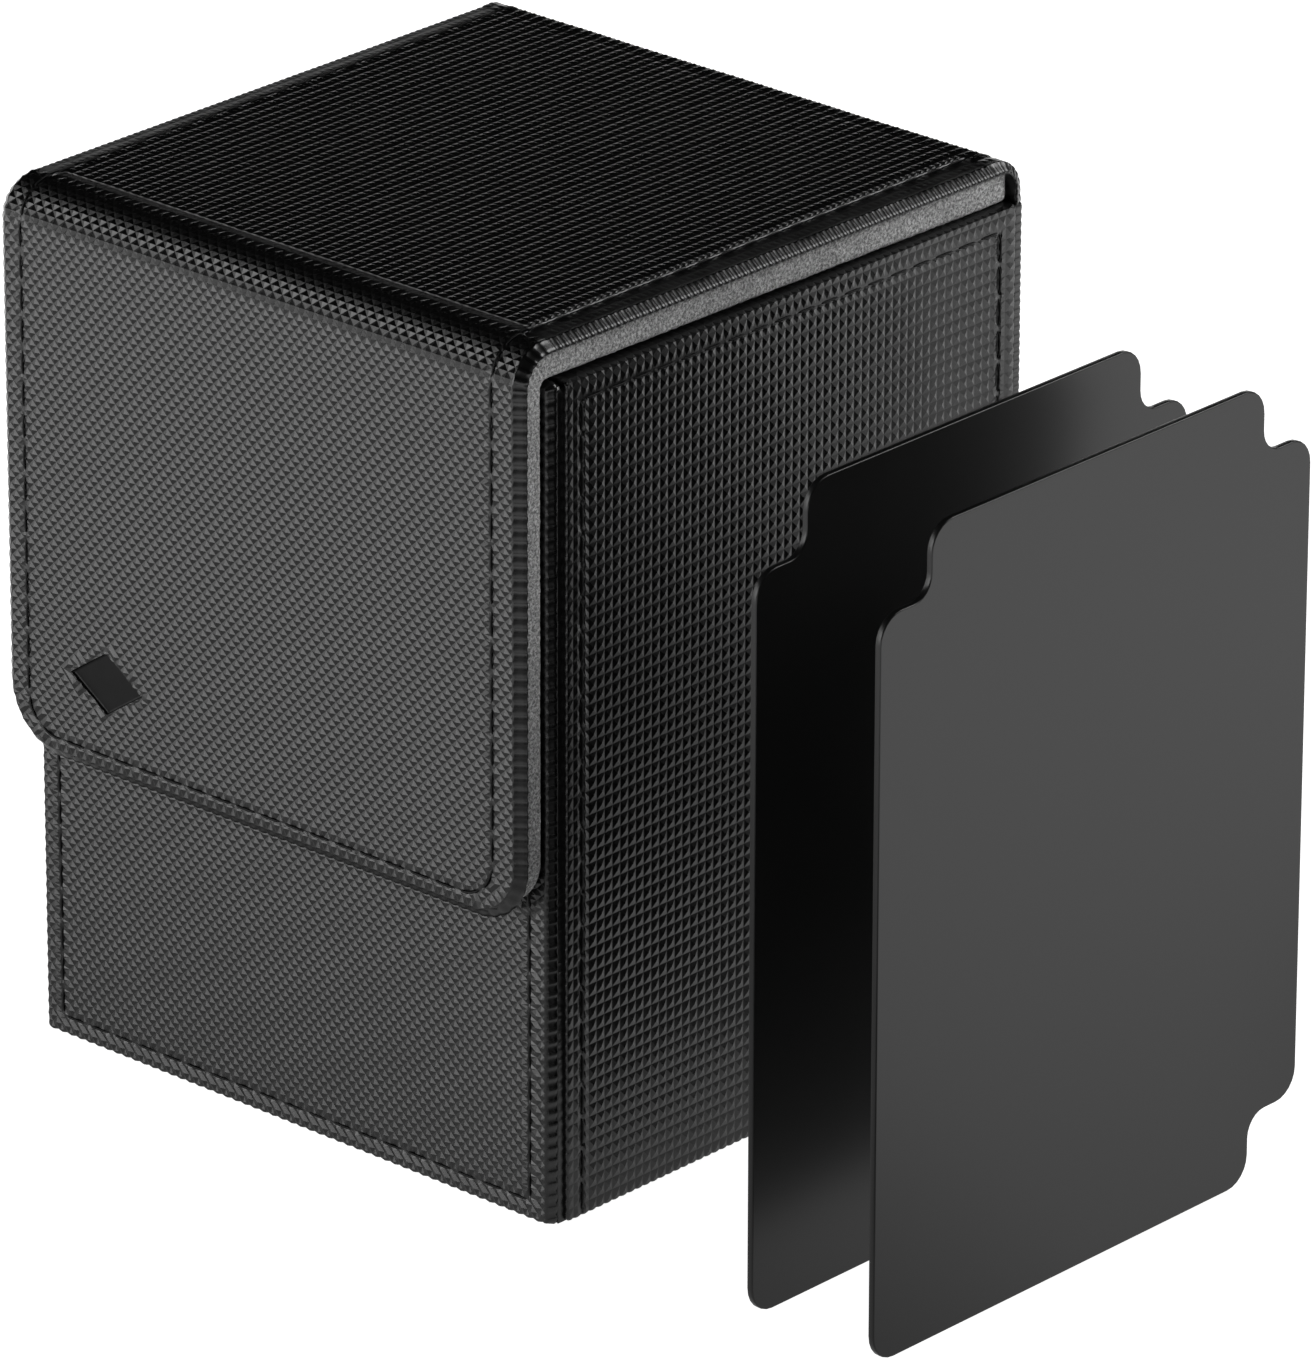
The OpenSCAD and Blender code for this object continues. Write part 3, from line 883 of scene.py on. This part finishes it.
lid_leather = leather_relief(lid_emboss, [lid_seam])
crease_line = Seam((LID_SEAM_RIGHT - 0.5, lid_change + TOP_BAND), 90, [(top_run - TOP_BAND - 0.3, 0)])


def lid_relief(u, v):
    n, h = lid_leather(u, v)
    outer = np.clip((np.abs(u - LID_SEAM_MID) - LID_SEAM_HALF) / 2.5, 0, 1)
    n = n - 0.12 * outer * (v > lid_change)          # the top slopes down a little to its edges
    pressed = motif_share(u, v)
    return n * (1 - pressed) - 0.42 * pressed, h * (1 - pressed)


lid_cover = make_object(
    "lid_cover",
    [
        sheet(
            lid_place, (lid_w[0] - LEAN / 2, 0), (lid_w[1], lid_path.length), lid_us, lid_vs, lid_relief,
            WRAP_T, RIM_FOLD, (FLAP_CORNER_R + LEAN / 2, FLAP_CORNER_R, 1, 1),
            [lid_seam, crease_line] + motif_sides(),
            cut_high=True, bends=flap_run + np.linspace(0, bend_run, 7), beads=lid_beads, lean=LEAN,
        )
    ],
    LEATHER,
)
lid_cover.data.materials.append(FOIL)
for polygon in lid_cover.data.polygons:
    x, y, z = polygon.center / MM
    if y < LID_LO[1] + 1 and motif_share(x, z - LID_LO[2]) > 0:
        polygon.material_index = 1
lid_stitches = make_object("lid_stitches", [stitches(lid_seam, lid_place, 0)], THREAD)

# --- Lid's lining: a thick soft pad behind the flap and under the top ---
pad_w = (PAD_LO[0], PAD_HI[0])
FLAP_PAD_T = 3.1
TOP_PAD_T = 3.3
PAD_SAG = 0.5                    # how much lower the pad hangs at its back end
pad_face_y = PAD_LO[1] + FLAP_PAD_T
pad_face_z = PAD_HI[2] - TOP_PAD_T
pad_up = pad_face_z - PAD_INNER_R - PAD_LO[2]
pad_bend = PAD_INNER_R * math.pi / 2
pad_along = PAD_HI[1] + 0.6 - pad_face_y - PAD_INNER_R
pad_path = Path((pad_face_y, PAD_LO[2]), 90, [(pad_up, 0), (pad_bend, -90), (pad_along, 0)], outside=-1)
pad_place_even = placer(pad_path, (0, 1, 2))


def pad_place(u, v, n):
    share = np.clip((v - pad_up) / pad_bend, 0, 1)
    sag = PAD_SAG * np.clip((v - pad_up - pad_bend) / pad_along, 0, 1)
    back = n * (FLAP_PAD_T + (TOP_PAD_T - FLAP_PAD_T) * share) / TOP_PAD_T
    return pad_place_even(u, v, back + sag * (1 + n / TOP_PAD_T))


pad_vs = np.unique(
    np.concatenate([grid_lines(0, pad_path.length, 0.8), pad_up + np.linspace(0, pad_bend, 4)]).round(4)
)
lid_pad = make_object(
    "lid_pad",
    [
        sheet(
            pad_place, (pad_w[0], 0), (pad_w[1], pad_path.length), grid_lines(*pad_w, 0.8), pad_vs,
            plain_relief(0.03), TOP_PAD_T, 0.6, (FLAP_CORNER_R - 1, FLAP_CORNER_R - 1, 1.6, 1.6),
            bends=pad_up + np.linspace(0, pad_bend, 4),
        )
    ],
    MICROFIBRE,
)
for polygon in lid_pad.data.polygons:
    polygon.use_smooth = True

# --- Hinge and back ---
hinge_up = HINGE_HI[2] - BACK_TOP_R - HINGE_LO[2]
hinge_bend = BACK_TOP_R * math.pi / 2
hinge_along = HINGE_HI[1] - BACK_TOP_R - HINGE_LO[1]
hinge_path = Path(
    (HINGE_HI[1], HINGE_LO[2]), 90, [(hinge_up, 0), (hinge_bend, 90), (hinge_along, 0)], outside=-1
)
hinge_place_even = placer(hinge_path, (0, 1, 2))
BACK_WIDER = 0.75                # how much further out the face's edge is down the back than on the lid
BACK_OUT = 0.35                  # how far in the wrap's edge is there


def hinge_place(u, v, n):
    """Down the hinge the turned edge goes from leaning to upright."""
    upright = 1 - np.clip(v / hinge_path.length, 0, 1)
    return hinge_place_even(u * (1 + upright * (BACK_WIDER + LEAN * n / WRAP_T) / BACK_HI[0]), v, n)


back_w = (BACK_LO[0], BACK_HI[0])
back_edge = BACK_HI[0] - BACK_SEAM_IN
back_path = Path((BACK_HI[1], 0), 90, [(BACK_HI[2], 0)], outside=-1)
back_place = placer(back_path, (0, 1, 2))


def row_beads(u, v, normals):
    crest = np.where(np.abs(normals[:, 0]) > 0.7, ripple(v, TOP_PITCH), ripple(u, PITCH))
    return crest, 0.14 * (crest - 0.75)


def diagonal_beads(u, v, normals):
    crest = np.where(np.abs(normals[:, 0]) > 0.7, ripple(v, PITCH), ripple(u, PITCH))
    return crest, 0.2 * (crest - 0.8)


def side_beads(u, v, normals):
    crest = np.where(np.abs(normals[:, 0]) > 0.7, ripple(v, PITCH), ripple(u, SIDE_PITCH))
    return crest, 0.16 * (crest - 0.8)


def hinge_emboss(u, v):
    rim = np.clip((np.abs(u) - back_edge + 0.2) / 0.8, 0, 1)
    return 0.55 + (rows(u, v, PITCH, TOP_PITCH) - 0.55) * (1 - 0.75 * rim)


def back_emboss(u, v):
    return hinge_emboss(u, v - BACK_HI[2])


def back_beads(u, v, normals):
    return row_beads(u, v - BACK_HI[2], normals)


def slanted_seam(x0, x1):
    """From the back's seam up over the hinge to the lid's."""
    run = math.hypot(x1 - x0, hinge_path.length)
    heading = math.degrees(math.atan2(hinge_path.length, x1 - x0))
    return Seam((x0, 0), heading, [(run, 0)])


hinge_seams = [slanted_seam(-back_edge, LID_SEAM_LEFT), slanted_seam(back_edge, LID_SEAM_RIGHT)]
hinge_cover = make_object(
    "hinge_cover",
    [
        sheet(
            hinge_place, (back_w[0] - LEAN / 2, 0), (back_w[1], hinge_path.length), lid_us,
            grid_lines(0, hinge_path.length, TOP_PITCH / PER_PITCH),
            leather_relief(hinge_emboss, hinge_seams),
            WRAP_T, RIM_FOLD, seams=hinge_seams, cut_low=True, cut_high=True,
            bends=hinge_up + np.linspace(0, hinge_bend, 9), beads=row_beads, lean=LEAN,
        )
    ],
    LEATHER,
)
hinge_stitches = make_object(
    "hinge_stitches", [stitches(seam, hinge_place, 0) for seam in hinge_seams], THREAD
)
back_seam_x = back_edge * (1 + BACK_WIDER / BACK_HI[0])
back_seams = [
    Seam((-back_seam_x, LID_SEAM_LOW), 90, [(BACK_HI[2] - LID_SEAM_LOW, 0)]),
    Seam((back_seam_x, LID_SEAM_LOW), 90, [(BACK_HI[2] - LID_SEAM_LOW, 0)]),
    Seam((-back_seam_x, LID_SEAM_LOW), 0, [(2 * back_seam_x, 0)]),
]
back_cover = make_object(
    "back_cover",
    [
        sheet(
            back_place, (back_w[0] - 0.2, 0), (back_w[1] - BACK_OUT, BACK_HI[2]), lid_us,
            BACK_HI[2] + grid_lines(-BACK_HI[2], 0, TOP_PITCH / PER_PITCH),
            leather_relief(back_emboss, back_seams),
            WRAP_T, RIM_FOLD, seams=back_seams, cut_high=True, beads=back_beads,
        )
    ],
    LEATHER,
)
back_stitches = make_object("back_stitches", [stitches(seam, back_place, 0) for seam in back_seams], THREAD)

# --- Front ---
FRONT_T = 1.78
FRONT_SHIFT = 0.35               # how far the turned edge leans out, and how far left the face sits
front_w = (FRONT_LO[0] - 2 * FRONT_SHIFT, FRONT_HI[0])
front_h = FRONT_HI[2]
front_path = Path((FRONT_LO[1], 0), 90, [(front_h, 0)])
front_place = placer(front_path, (0, 1, 2))
front_edge = FRONT_HI[0] - FRONT_SEAM_IN
front_seams = [
    Seam((-front_edge - FRONT_SHIFT, front_h - 0.5), -90, [(front_h - 0.5 - LID_SEAM_LOW, 0)]),
    Seam((front_edge - FRONT_SHIFT, front_h - 0.5), -90, [(front_h - 0.5 - LID_SEAM_LOW, 0)]),
    Seam((-front_edge - FRONT_SHIFT, LID_SEAM_LOW), 0, [(2 * front_edge, 0)], 0.08, 0.15),
]


def front_emboss(u, v):
    return diagonal(u, v, PITCH)


WALL_R = 0.75
ROOM_X = 35.55
FRONT_ROOM_Y = FRONT_HI[1]
TURN_IN = 2.4
front_turn_path = Path(
    (FRONT_LO[1] + 0.8, front_h - 0.02), 0,
    [
        (FRONT_ROOM_Y - FRONT_LO[1] - 0.8 - WALL_R, 0),
        (WALL_R * math.pi / 2, -90),
        (TURN_IN - WALL_R - 0.02, 0),
    ],
)
front_cover = make_object(
    "front_cover",
    [
        sheet(
            front_place, (front_w[0], 0), (front_w[1], front_h), grid_lines(*front_w, PITCH / PER_PITCH),
            grid_lines(0, front_h, PITCH / PER_PITCH), leather_relief(front_emboss, front_seams),
            FRONT_T, 0.45, (COVER_CORNER_R,) * 4, front_seams, beads=diagonal_beads, lean=FRONT_SHIFT,
        ),
        sheet(
            placer(front_turn_path, (0, 1, 2)), (-ROOM_X, 0), (ROOM_X, front_turn_path.length),
            grid_lines(-ROOM_X, ROOM_X, PITCH / PER_PITCH),
            grid_lines(0, front_turn_path.length, PITCH / PER_PITCH),
            leather_relief(front_emboss, []), 1.2, 0.35, (0.5,) * 4,
        ),
    ],
    LEATHER,
)
front_threads = [stitches(seam, front_place, 0) for seam in front_seams]
front_stitches = make_object("front_stitches", front_threads, THREAD)

# --- Sides ---
SIDE_TOP_R = 0.8
COVER_T = 0.8
side_x, side_low, side_high = SIDE_HI[0], SIDE_LO[2], SIDE_HI[2]
side_w = (SIDE_LO[1], SIDE_HI[1] + 0.2)
side_seam_y = (SIDE_LO[1] + SIDE_SEAM_FRONT_IN, SIDE_HI[1] - SIDE_SEAM_BACK_IN)
side_seam_v = side_high - SIDE_SEAM_TOP_IN - side_low


def wall_path(x, low, top, room_x):
    """Up the outside of a side wall, over its top and down inside."""
    return Path(
        (x, low), 90,
        [
            (top - SIDE_TOP_R - low, 0),
            (SIDE_TOP_R * math.pi / 2, 90),
            (x - room_x - 2 * SIDE_TOP_R, 0),
            (SIDE_TOP_R * math.pi / 2, 90),
            (TURN_IN - SIDE_TOP_R, 0),
        ],
        outside=-1,
    )


side_path = wall_path(side_x, side_low, side_high, ROOM_X)
under_path = wall_path(side_x - 0.6, side_low, side_high - 0.5, ROOM_X + 0.6)


def side_emboss(u, v):
    front = np.clip((side_seam_y[0] - u + 0.6) / 0.8, 0, 1)
    above = np.clip((v - side_path.parts[2][0]) / 0.6, 0, 1)
    fade = 1 - np.maximum(0.35 * front, 0.7 * above)
    return 0.55 + 0.8 * (rows(u, v, SIDE_PITCH, PITCH) - 0.55) * fade


side_seams = [
    Seam((side_seam_y[0], side_seam_v), -90, [(side_seam_v - 0.5, 0)], 0.26, 0.26),
    Seam((side_seam_y[1], side_seam_v), -90, [(side_seam_v - 0.5, 0)], 0.26, 0.26),
    Seam((side_seam_y[0], side_seam_v), 0, [(side_seam_y[1] - side_seam_y[0], 0)], 0.07, 0.15),
]
for side, mirror in (("right", False), ("left", True)):
    side_place = placer(side_path, (1, 0, 2), mirror)
    cover = make_object(
        side + "_cover",
        [
            sheet(
                side_place, (side_w[0], 0), (side_w[1], side_path.length),
                grid_lines(*side_w, SIDE_PITCH / PER_PITCH),
                grid_lines(0, side_path.length, PITCH / PER_PITCH),
                leather_relief(side_emboss, side_seams), COVER_T, 0.3, (0.7,) * 4, side_seams,
                beads=side_beads,
            ),
            sheet(
                placer(under_path, (1, 0, 2), mirror), (FRONT_LO[1] + FRONT_T - 0.4, 0),
                (BACK_LO[1] + 0.1, under_path.length - 0.7),
                grid_lines(-40, 40, 4), grid_lines(0, under_path.length, 0.7),
                plain_relief(0.01), 0.3, 0.1, (0.2,) * 4,
            ),
        ],
        LEATHER,
    )
    sewing = make_object(side + "_stitches", [stitches(seam, side_place, 0) for seam in side_seams], THREAD)
    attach(cover, "box")
    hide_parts(side + "_leather")
    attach(sewing, "box")
    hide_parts(side + "_thread")

# --- Underside ---
base_path = Path((BASE_LO[1], 0), 0, [(BASE_HI[1] - BASE_LO[1], 0)], outside=-1)
base_cover = make_object(
    "base_cover",
    [
        sheet(
            placer(base_path, (0, 1, 2)), (BASE_LO[0], 0), (BASE_HI[0], base_path.length),
            grid_lines(BASE_LO[0], BASE_HI[0], PITCH / PER_PITCH),
            grid_lines(0, base_path.length, TOP_PITCH / PER_PITCH),
            leather_relief(lambda u, v: rows(u, v, PITCH, TOP_PITCH), []), BASE_HI[2], 0.5, (0.8,) * 4,
        )
    ],
    LEATHER,
)


# --- Linings of the walls and the floor ---
def lining(name, node, across, up, face, thick, outside, heading=90, fold=0.25, mirror=False, axes=(0, 1, 2)):
    """A flat lining: across and up are its ranges, and face is where its visible side lies."""
    start = (face, up[0]) if heading == 90 else (up[0], face)
    path = Path(start, heading, [(up[1] - up[0], 0)], outside)
    piece = make_object(
        name,
        [
            sheet(
                placer(path, axes, mirror), (across[0], 0), (across[1], path.length),
                grid_lines(*across, 1.5), grid_lines(0, path.length, 1.5), plain_relief(0.03),
                thick, fold, (0.6,) * 4,
            )
        ],
        MICROFIBRE,
    )
    piece.data.polygons.foreach_set("use_smooth", [True] * len(piece.data.polygons))
    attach(piece, "box")
    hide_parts(node)
    return piece


flo, fhi = cad("front_lining")
blo, bhi = cad("back_lining")
slo, shi = cad("right_lining")
dlo, dhi = cad("bottom_lining")
lining(
    "front_wall_lining", "front_lining", (flo[0], fhi[0]), (flo[2], fhi[2]), fhi[1], fhi[1] - flo[1], -1
)
lining(
    "back_wall_lining", "back_lining", (blo[0], bhi[0]), (blo[2], bhi[2]), blo[1], bhi[1] - blo[1], 1,
    fold=0.7,
)
for side, mirror in (("right", False), ("left", True)):
    lining(
        side + "_wall_lining", side + "_lining", (slo[1], shi[1]), (slo[2], shi[2]),
        slo[0], shi[0] - slo[0], 1, mirror=mirror, axes=(1, 0, 2),
    )
lining(
    "floor_lining", "bottom_lining", (dlo[0], dhi[0]), (dlo[1], dhi[1]), dhi[2], dhi[2] - dlo[2], 1,
    heading=0,
)


# --- Dividers ---
NOTCH = 8.0
OUTER_R = 3.3
NOTCH_R = 2.7


def arc(centre, radius, start, turn, count=7):
    """Points round an arc with their outward normals; the turn is negative on an inward corner."""
    angles = np.radians(start + np.linspace(0, turn, count))
    sign = 1 if turn > 0 else -1
    rays = [(math.cos(t), math.sin(t)) for t in angles]
    return [((centre[0] + radius * x, centre[1] + radius * y), (sign * x, sign * y)) for x, y in rays]


def notched_corner(corner, inward, start):
    """Three rounded corners of a notch, counterclockwise. Inward points to the middle of the plate."""
    s, t = inward
    cu, cv = corner
    a = (cu + s * NOTCH, cv + t * NOTCH)
    first = (s * OUTER_R, t * OUTER_R)
    if start in (0, 180):
        one = arc((cu + first[0], a[1] + first[1]), OUTER_R, start, 90)
        two = arc((a[0] - s * NOTCH_R, a[1] - t * NOTCH_R), NOTCH_R, start + 270, -90)
        three = arc((a[0] + first[0], cv + first[1]), OUTER_R, start, 90)
    else:
        one = arc((a[0] + first[0], cv + first[1]), OUTER_R, start, 90)
        two = arc((a[0] - s * NOTCH_R, a[1] - t * NOTCH_R), NOTCH_R, start + 270, -90)
        three = arc((cu + first[0], a[1] + first[1]), OUTER_R, start, 90)
    return one + two + three


def divider(node, name):
    lo, hi = cad(node)
    y0, y1, z0, z1 = lo[1], hi[1], lo[2], hi[2]
    outline = notched_corner((y1, z1), (-1, -1), 0)
    outline += notched_corner((y0, z1), (1, -1), 90)
    outline += arc((y0 + OUTER_R, z0 + OUTER_R), OUTER_R, 180, 90)
    outline += notched_corner((y1, z0), (-1, 1), 270)
    spots = np.array([p for p, _ in outline])
    normals = np.array([m for _, m in outline])
    thick, fold = hi[0] - lo[0], 0.16
    layers, points, total = [], [], 0
    for out, deep, _, _ in edge_profile(thick, fold):
        where = spots + normals * (out - fold)
        points.append(np.stack([np.full(len(where), hi[0] + deep), where[:, 0], where[:, 1]], 1))
        layers.append(list(range(total, total + len(where))))
        total += len(where)
    sides = []
    for upper, lower in zip(layers, layers[1:]):
        sides += [list(q) for q in zip(upper, upper[1:] + upper[:1], lower[1:] + lower[:1], lower)]
    caps = [layers[0], layers[-1][::-1]]
    points = np.concatenate(points)
    piece = make_object(name, [(points, caps, sides, np.zeros(len(points)))], PLASTIC)
    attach(piece, node)
    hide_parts(node)
    return piece


divider("inner_divider", "inner_divider_plate")
divider("outer_divider", "outer_divider_plate")

# --- CAD nodes that stay ---
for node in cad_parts:
    if node.endswith("_board") or node.endswith("_magnets"):
        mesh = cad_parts[node].data
        mesh.materials.clear()
        mesh.materials.append(BOARD if node.endswith("_board") else PLATED)

# --- What moves with what ---
for piece, body, node, slot in (
    (lid_cover, "lid", "lid_leather", "leather"),
    (lid_stitches, "lid", "lid_thread", "thread"),
    (lid_pad, "lid", "lid_lining", "microfibre"),
    (back_cover, "box", "back_leather", "leather"),
    (back_stitches, "box", "back_thread", "thread"),
    (front_cover, "box", "front_leather", "leather"),
    (front_stitches, "box", "front_thread", "thread"),
    (base_cover, "box", "bottom_leather", "leather"),
):
    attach(piece, body)
    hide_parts(node)
for piece, slot in ((hinge_cover, "leather"), (hinge_stitches, "thread")):
    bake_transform(piece)
    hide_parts("hinge_leather")

# --- Stage ---
AZIMUTH, ELEVATION, ROLL = 42.257, 22.982, 0.142
a, e, r = (math.radians(x) for x in (AZIMUTH, ELEVATION, ROLL))
back = Vector((math.sin(a) * math.cos(e), -math.cos(a) * math.cos(e), math.sin(e)))
right = Vector((math.cos(a), math.sin(a), 0))
up = back.cross(right)
right, up = right * math.cos(r) + up * math.sin(r), up * math.cos(r) - right * math.sin(r)
camera = bpy.data.objects.new("camera", bpy.data.cameras.new("camera"))
bpy.context.scene.collection.objects.link(camera)
bpy.context.scene.camera = camera
camera.data.lens = 314.12
camera.data.sensor_width = 36
camera.data.clip_end = 50
axes = Matrix((right, up, back)).transposed().to_4x4()
camera.matrix_world = Matrix.Translation(back * 1.34131 + right * 0.016029 + up * 0.039454) @ axes


def plane(name, size, z):
    bpy.ops.mesh.primitive_plane_add(size=size, location=(0, 0, z))
    made = bpy.context.object
    made.name = name
    return made


def floor_material():
    material, nodes, links, shader = new_material("floor")
    shader.inputs["Base Color"].default_value = (0.9, 0.9, 0.9, 1)
    shader.inputs["Roughness"].default_value = 0.9
    shader.inputs["Emission Color"].default_value = (1, 1, 1, 1)
    shader.inputs["Emission Strength"].default_value = 1.0
    return material


def shade_patch(nodes, links, place, stops):
    """Grey by distance from a place on the floor. The ramp is read at half the distance in metres."""
    where = nodes.new("ShaderNodeTexCoord")
    away = add(nodes, "ShaderNodeVectorMath", operation="SUBTRACT")
    away.inputs[1].default_value = (*place, 0)
    far = add(nodes, "ShaderNodeVectorMath", operation="LENGTH")
    scale = add(nodes, "ShaderNodeMath", operation="MULTIPLY")
    scale.inputs[1].default_value = 0.5
    level = ramp(nodes, stops)
    links.new(where.outputs["Object"], away.inputs[0])
    links.new(away.outputs["Vector"], far.inputs[0])
    links.new(far.outputs["Value"], scale.inputs[0])
    links.new(scale.outputs["Value"], level.inputs["Fac"])
    return level


def bounce_material():
    """The light that comes back up from the floor: dim close to the box and beside the dividers."""
    material, nodes, links, shader = new_material("bounce")
    nodes.remove(shader)
    glow = nodes.new("ShaderNodeEmission")
    shade = shade_patch(nodes, links, (-0.04, -0.07), BOX_SHADE).outputs["Color"]
    for place, stops in (((0.17, -0.115), DIVIDER_SHADE), ((0.04, 0.12), BACK_SHADE)):
        patch = shade_patch(nodes, links, place, stops)
        both = add(nodes, "ShaderNodeMix", data_type="RGBA", blend_type="MULTIPLY")
        both.inputs["Factor"].default_value = 1.0
        links.new(shade, both.inputs["A"])
        links.new(patch.outputs["Color"], both.inputs["B"])
        shade = both.outputs["Result"]
    links.new(shade, glow.inputs["Color"])
    glow.inputs["Strength"].default_value = 1.5
    links.new(glow.outputs["Emission"], nodes["Material Output"].inputs["Surface"])
    return material


BOX_SHADE = [
    (0.02, grey(0.27)), (0.04, grey(0.30)), (0.075, grey(0.56)), (0.12, grey(0.76)), (0.16, grey(0.88)),
    (0.30, grey(0.85)), (0.55, grey(0.70)), (1.0, grey(0.35)),
]
DIVIDER_SHADE = [(0.03, grey(0.10)), (0.07, grey(1.0))]
BACK_SHADE = [(0.015, grey(0.35)), (0.05, grey(1.0))]
floor = plane("floor", 8, -0.0003)
floor.data.materials.append(floor_material())
bounce = plane("bounce", 8, -0.0006)
bounce.data.materials.append(bounce_material())
for part in (floor, bounce):
    seen = part is floor
    part.visible_camera = seen
    part.visible_diffuse = not seen
    part.visible_glossy = not seen
    part.visible_transmission = seen
    part.visible_shadow = False

world = bpy.data.worlds.new("studio")
bpy.context.scene.world = world
world.use_nodes = True
world.node_tree.nodes["Background"].inputs["Color"].default_value = (0.004, 0.004, 0.004, 1)
world.node_tree.nodes["Background"].inputs["Strength"].default_value = 1.0


def softbox(name, place, aim, size, radiance):
    light = bpy.data.objects.new(name, bpy.data.lights.new(name, "AREA"))
    bpy.context.scene.collection.objects.link(light)
    light.data.shape = "RECTANGLE"
    light.data.size, light.data.size_y = size
    light.data.energy = radiance * math.pi * size[0] * size[1]
    light.location = place
    light.rotation_euler = (Vector(aim) - Vector(place)).to_track_quat("-Z", "Y").to_euler()
    return light


softbox("front_box", (-0.36, -1.28, 0.40), (0, 0, 0.07), (1.0, 0.8), 3.7)
softbox("left_box", (-1.02, -0.80, 0.45), (0, 0, 0.07), (0.7, 0.8), 2.0)
softbox("right_box", (0.69, 0.89, 0.78), (0, 0, 0.10), (0.7, 0.6), 6.0)
softbox("back_box", (-0.93, 0.87, 0.18), (0, 0, 0.10), (1.2, 0.20), 1.7)
bpy.context.scene.view_settings.view_transform = "Standard"
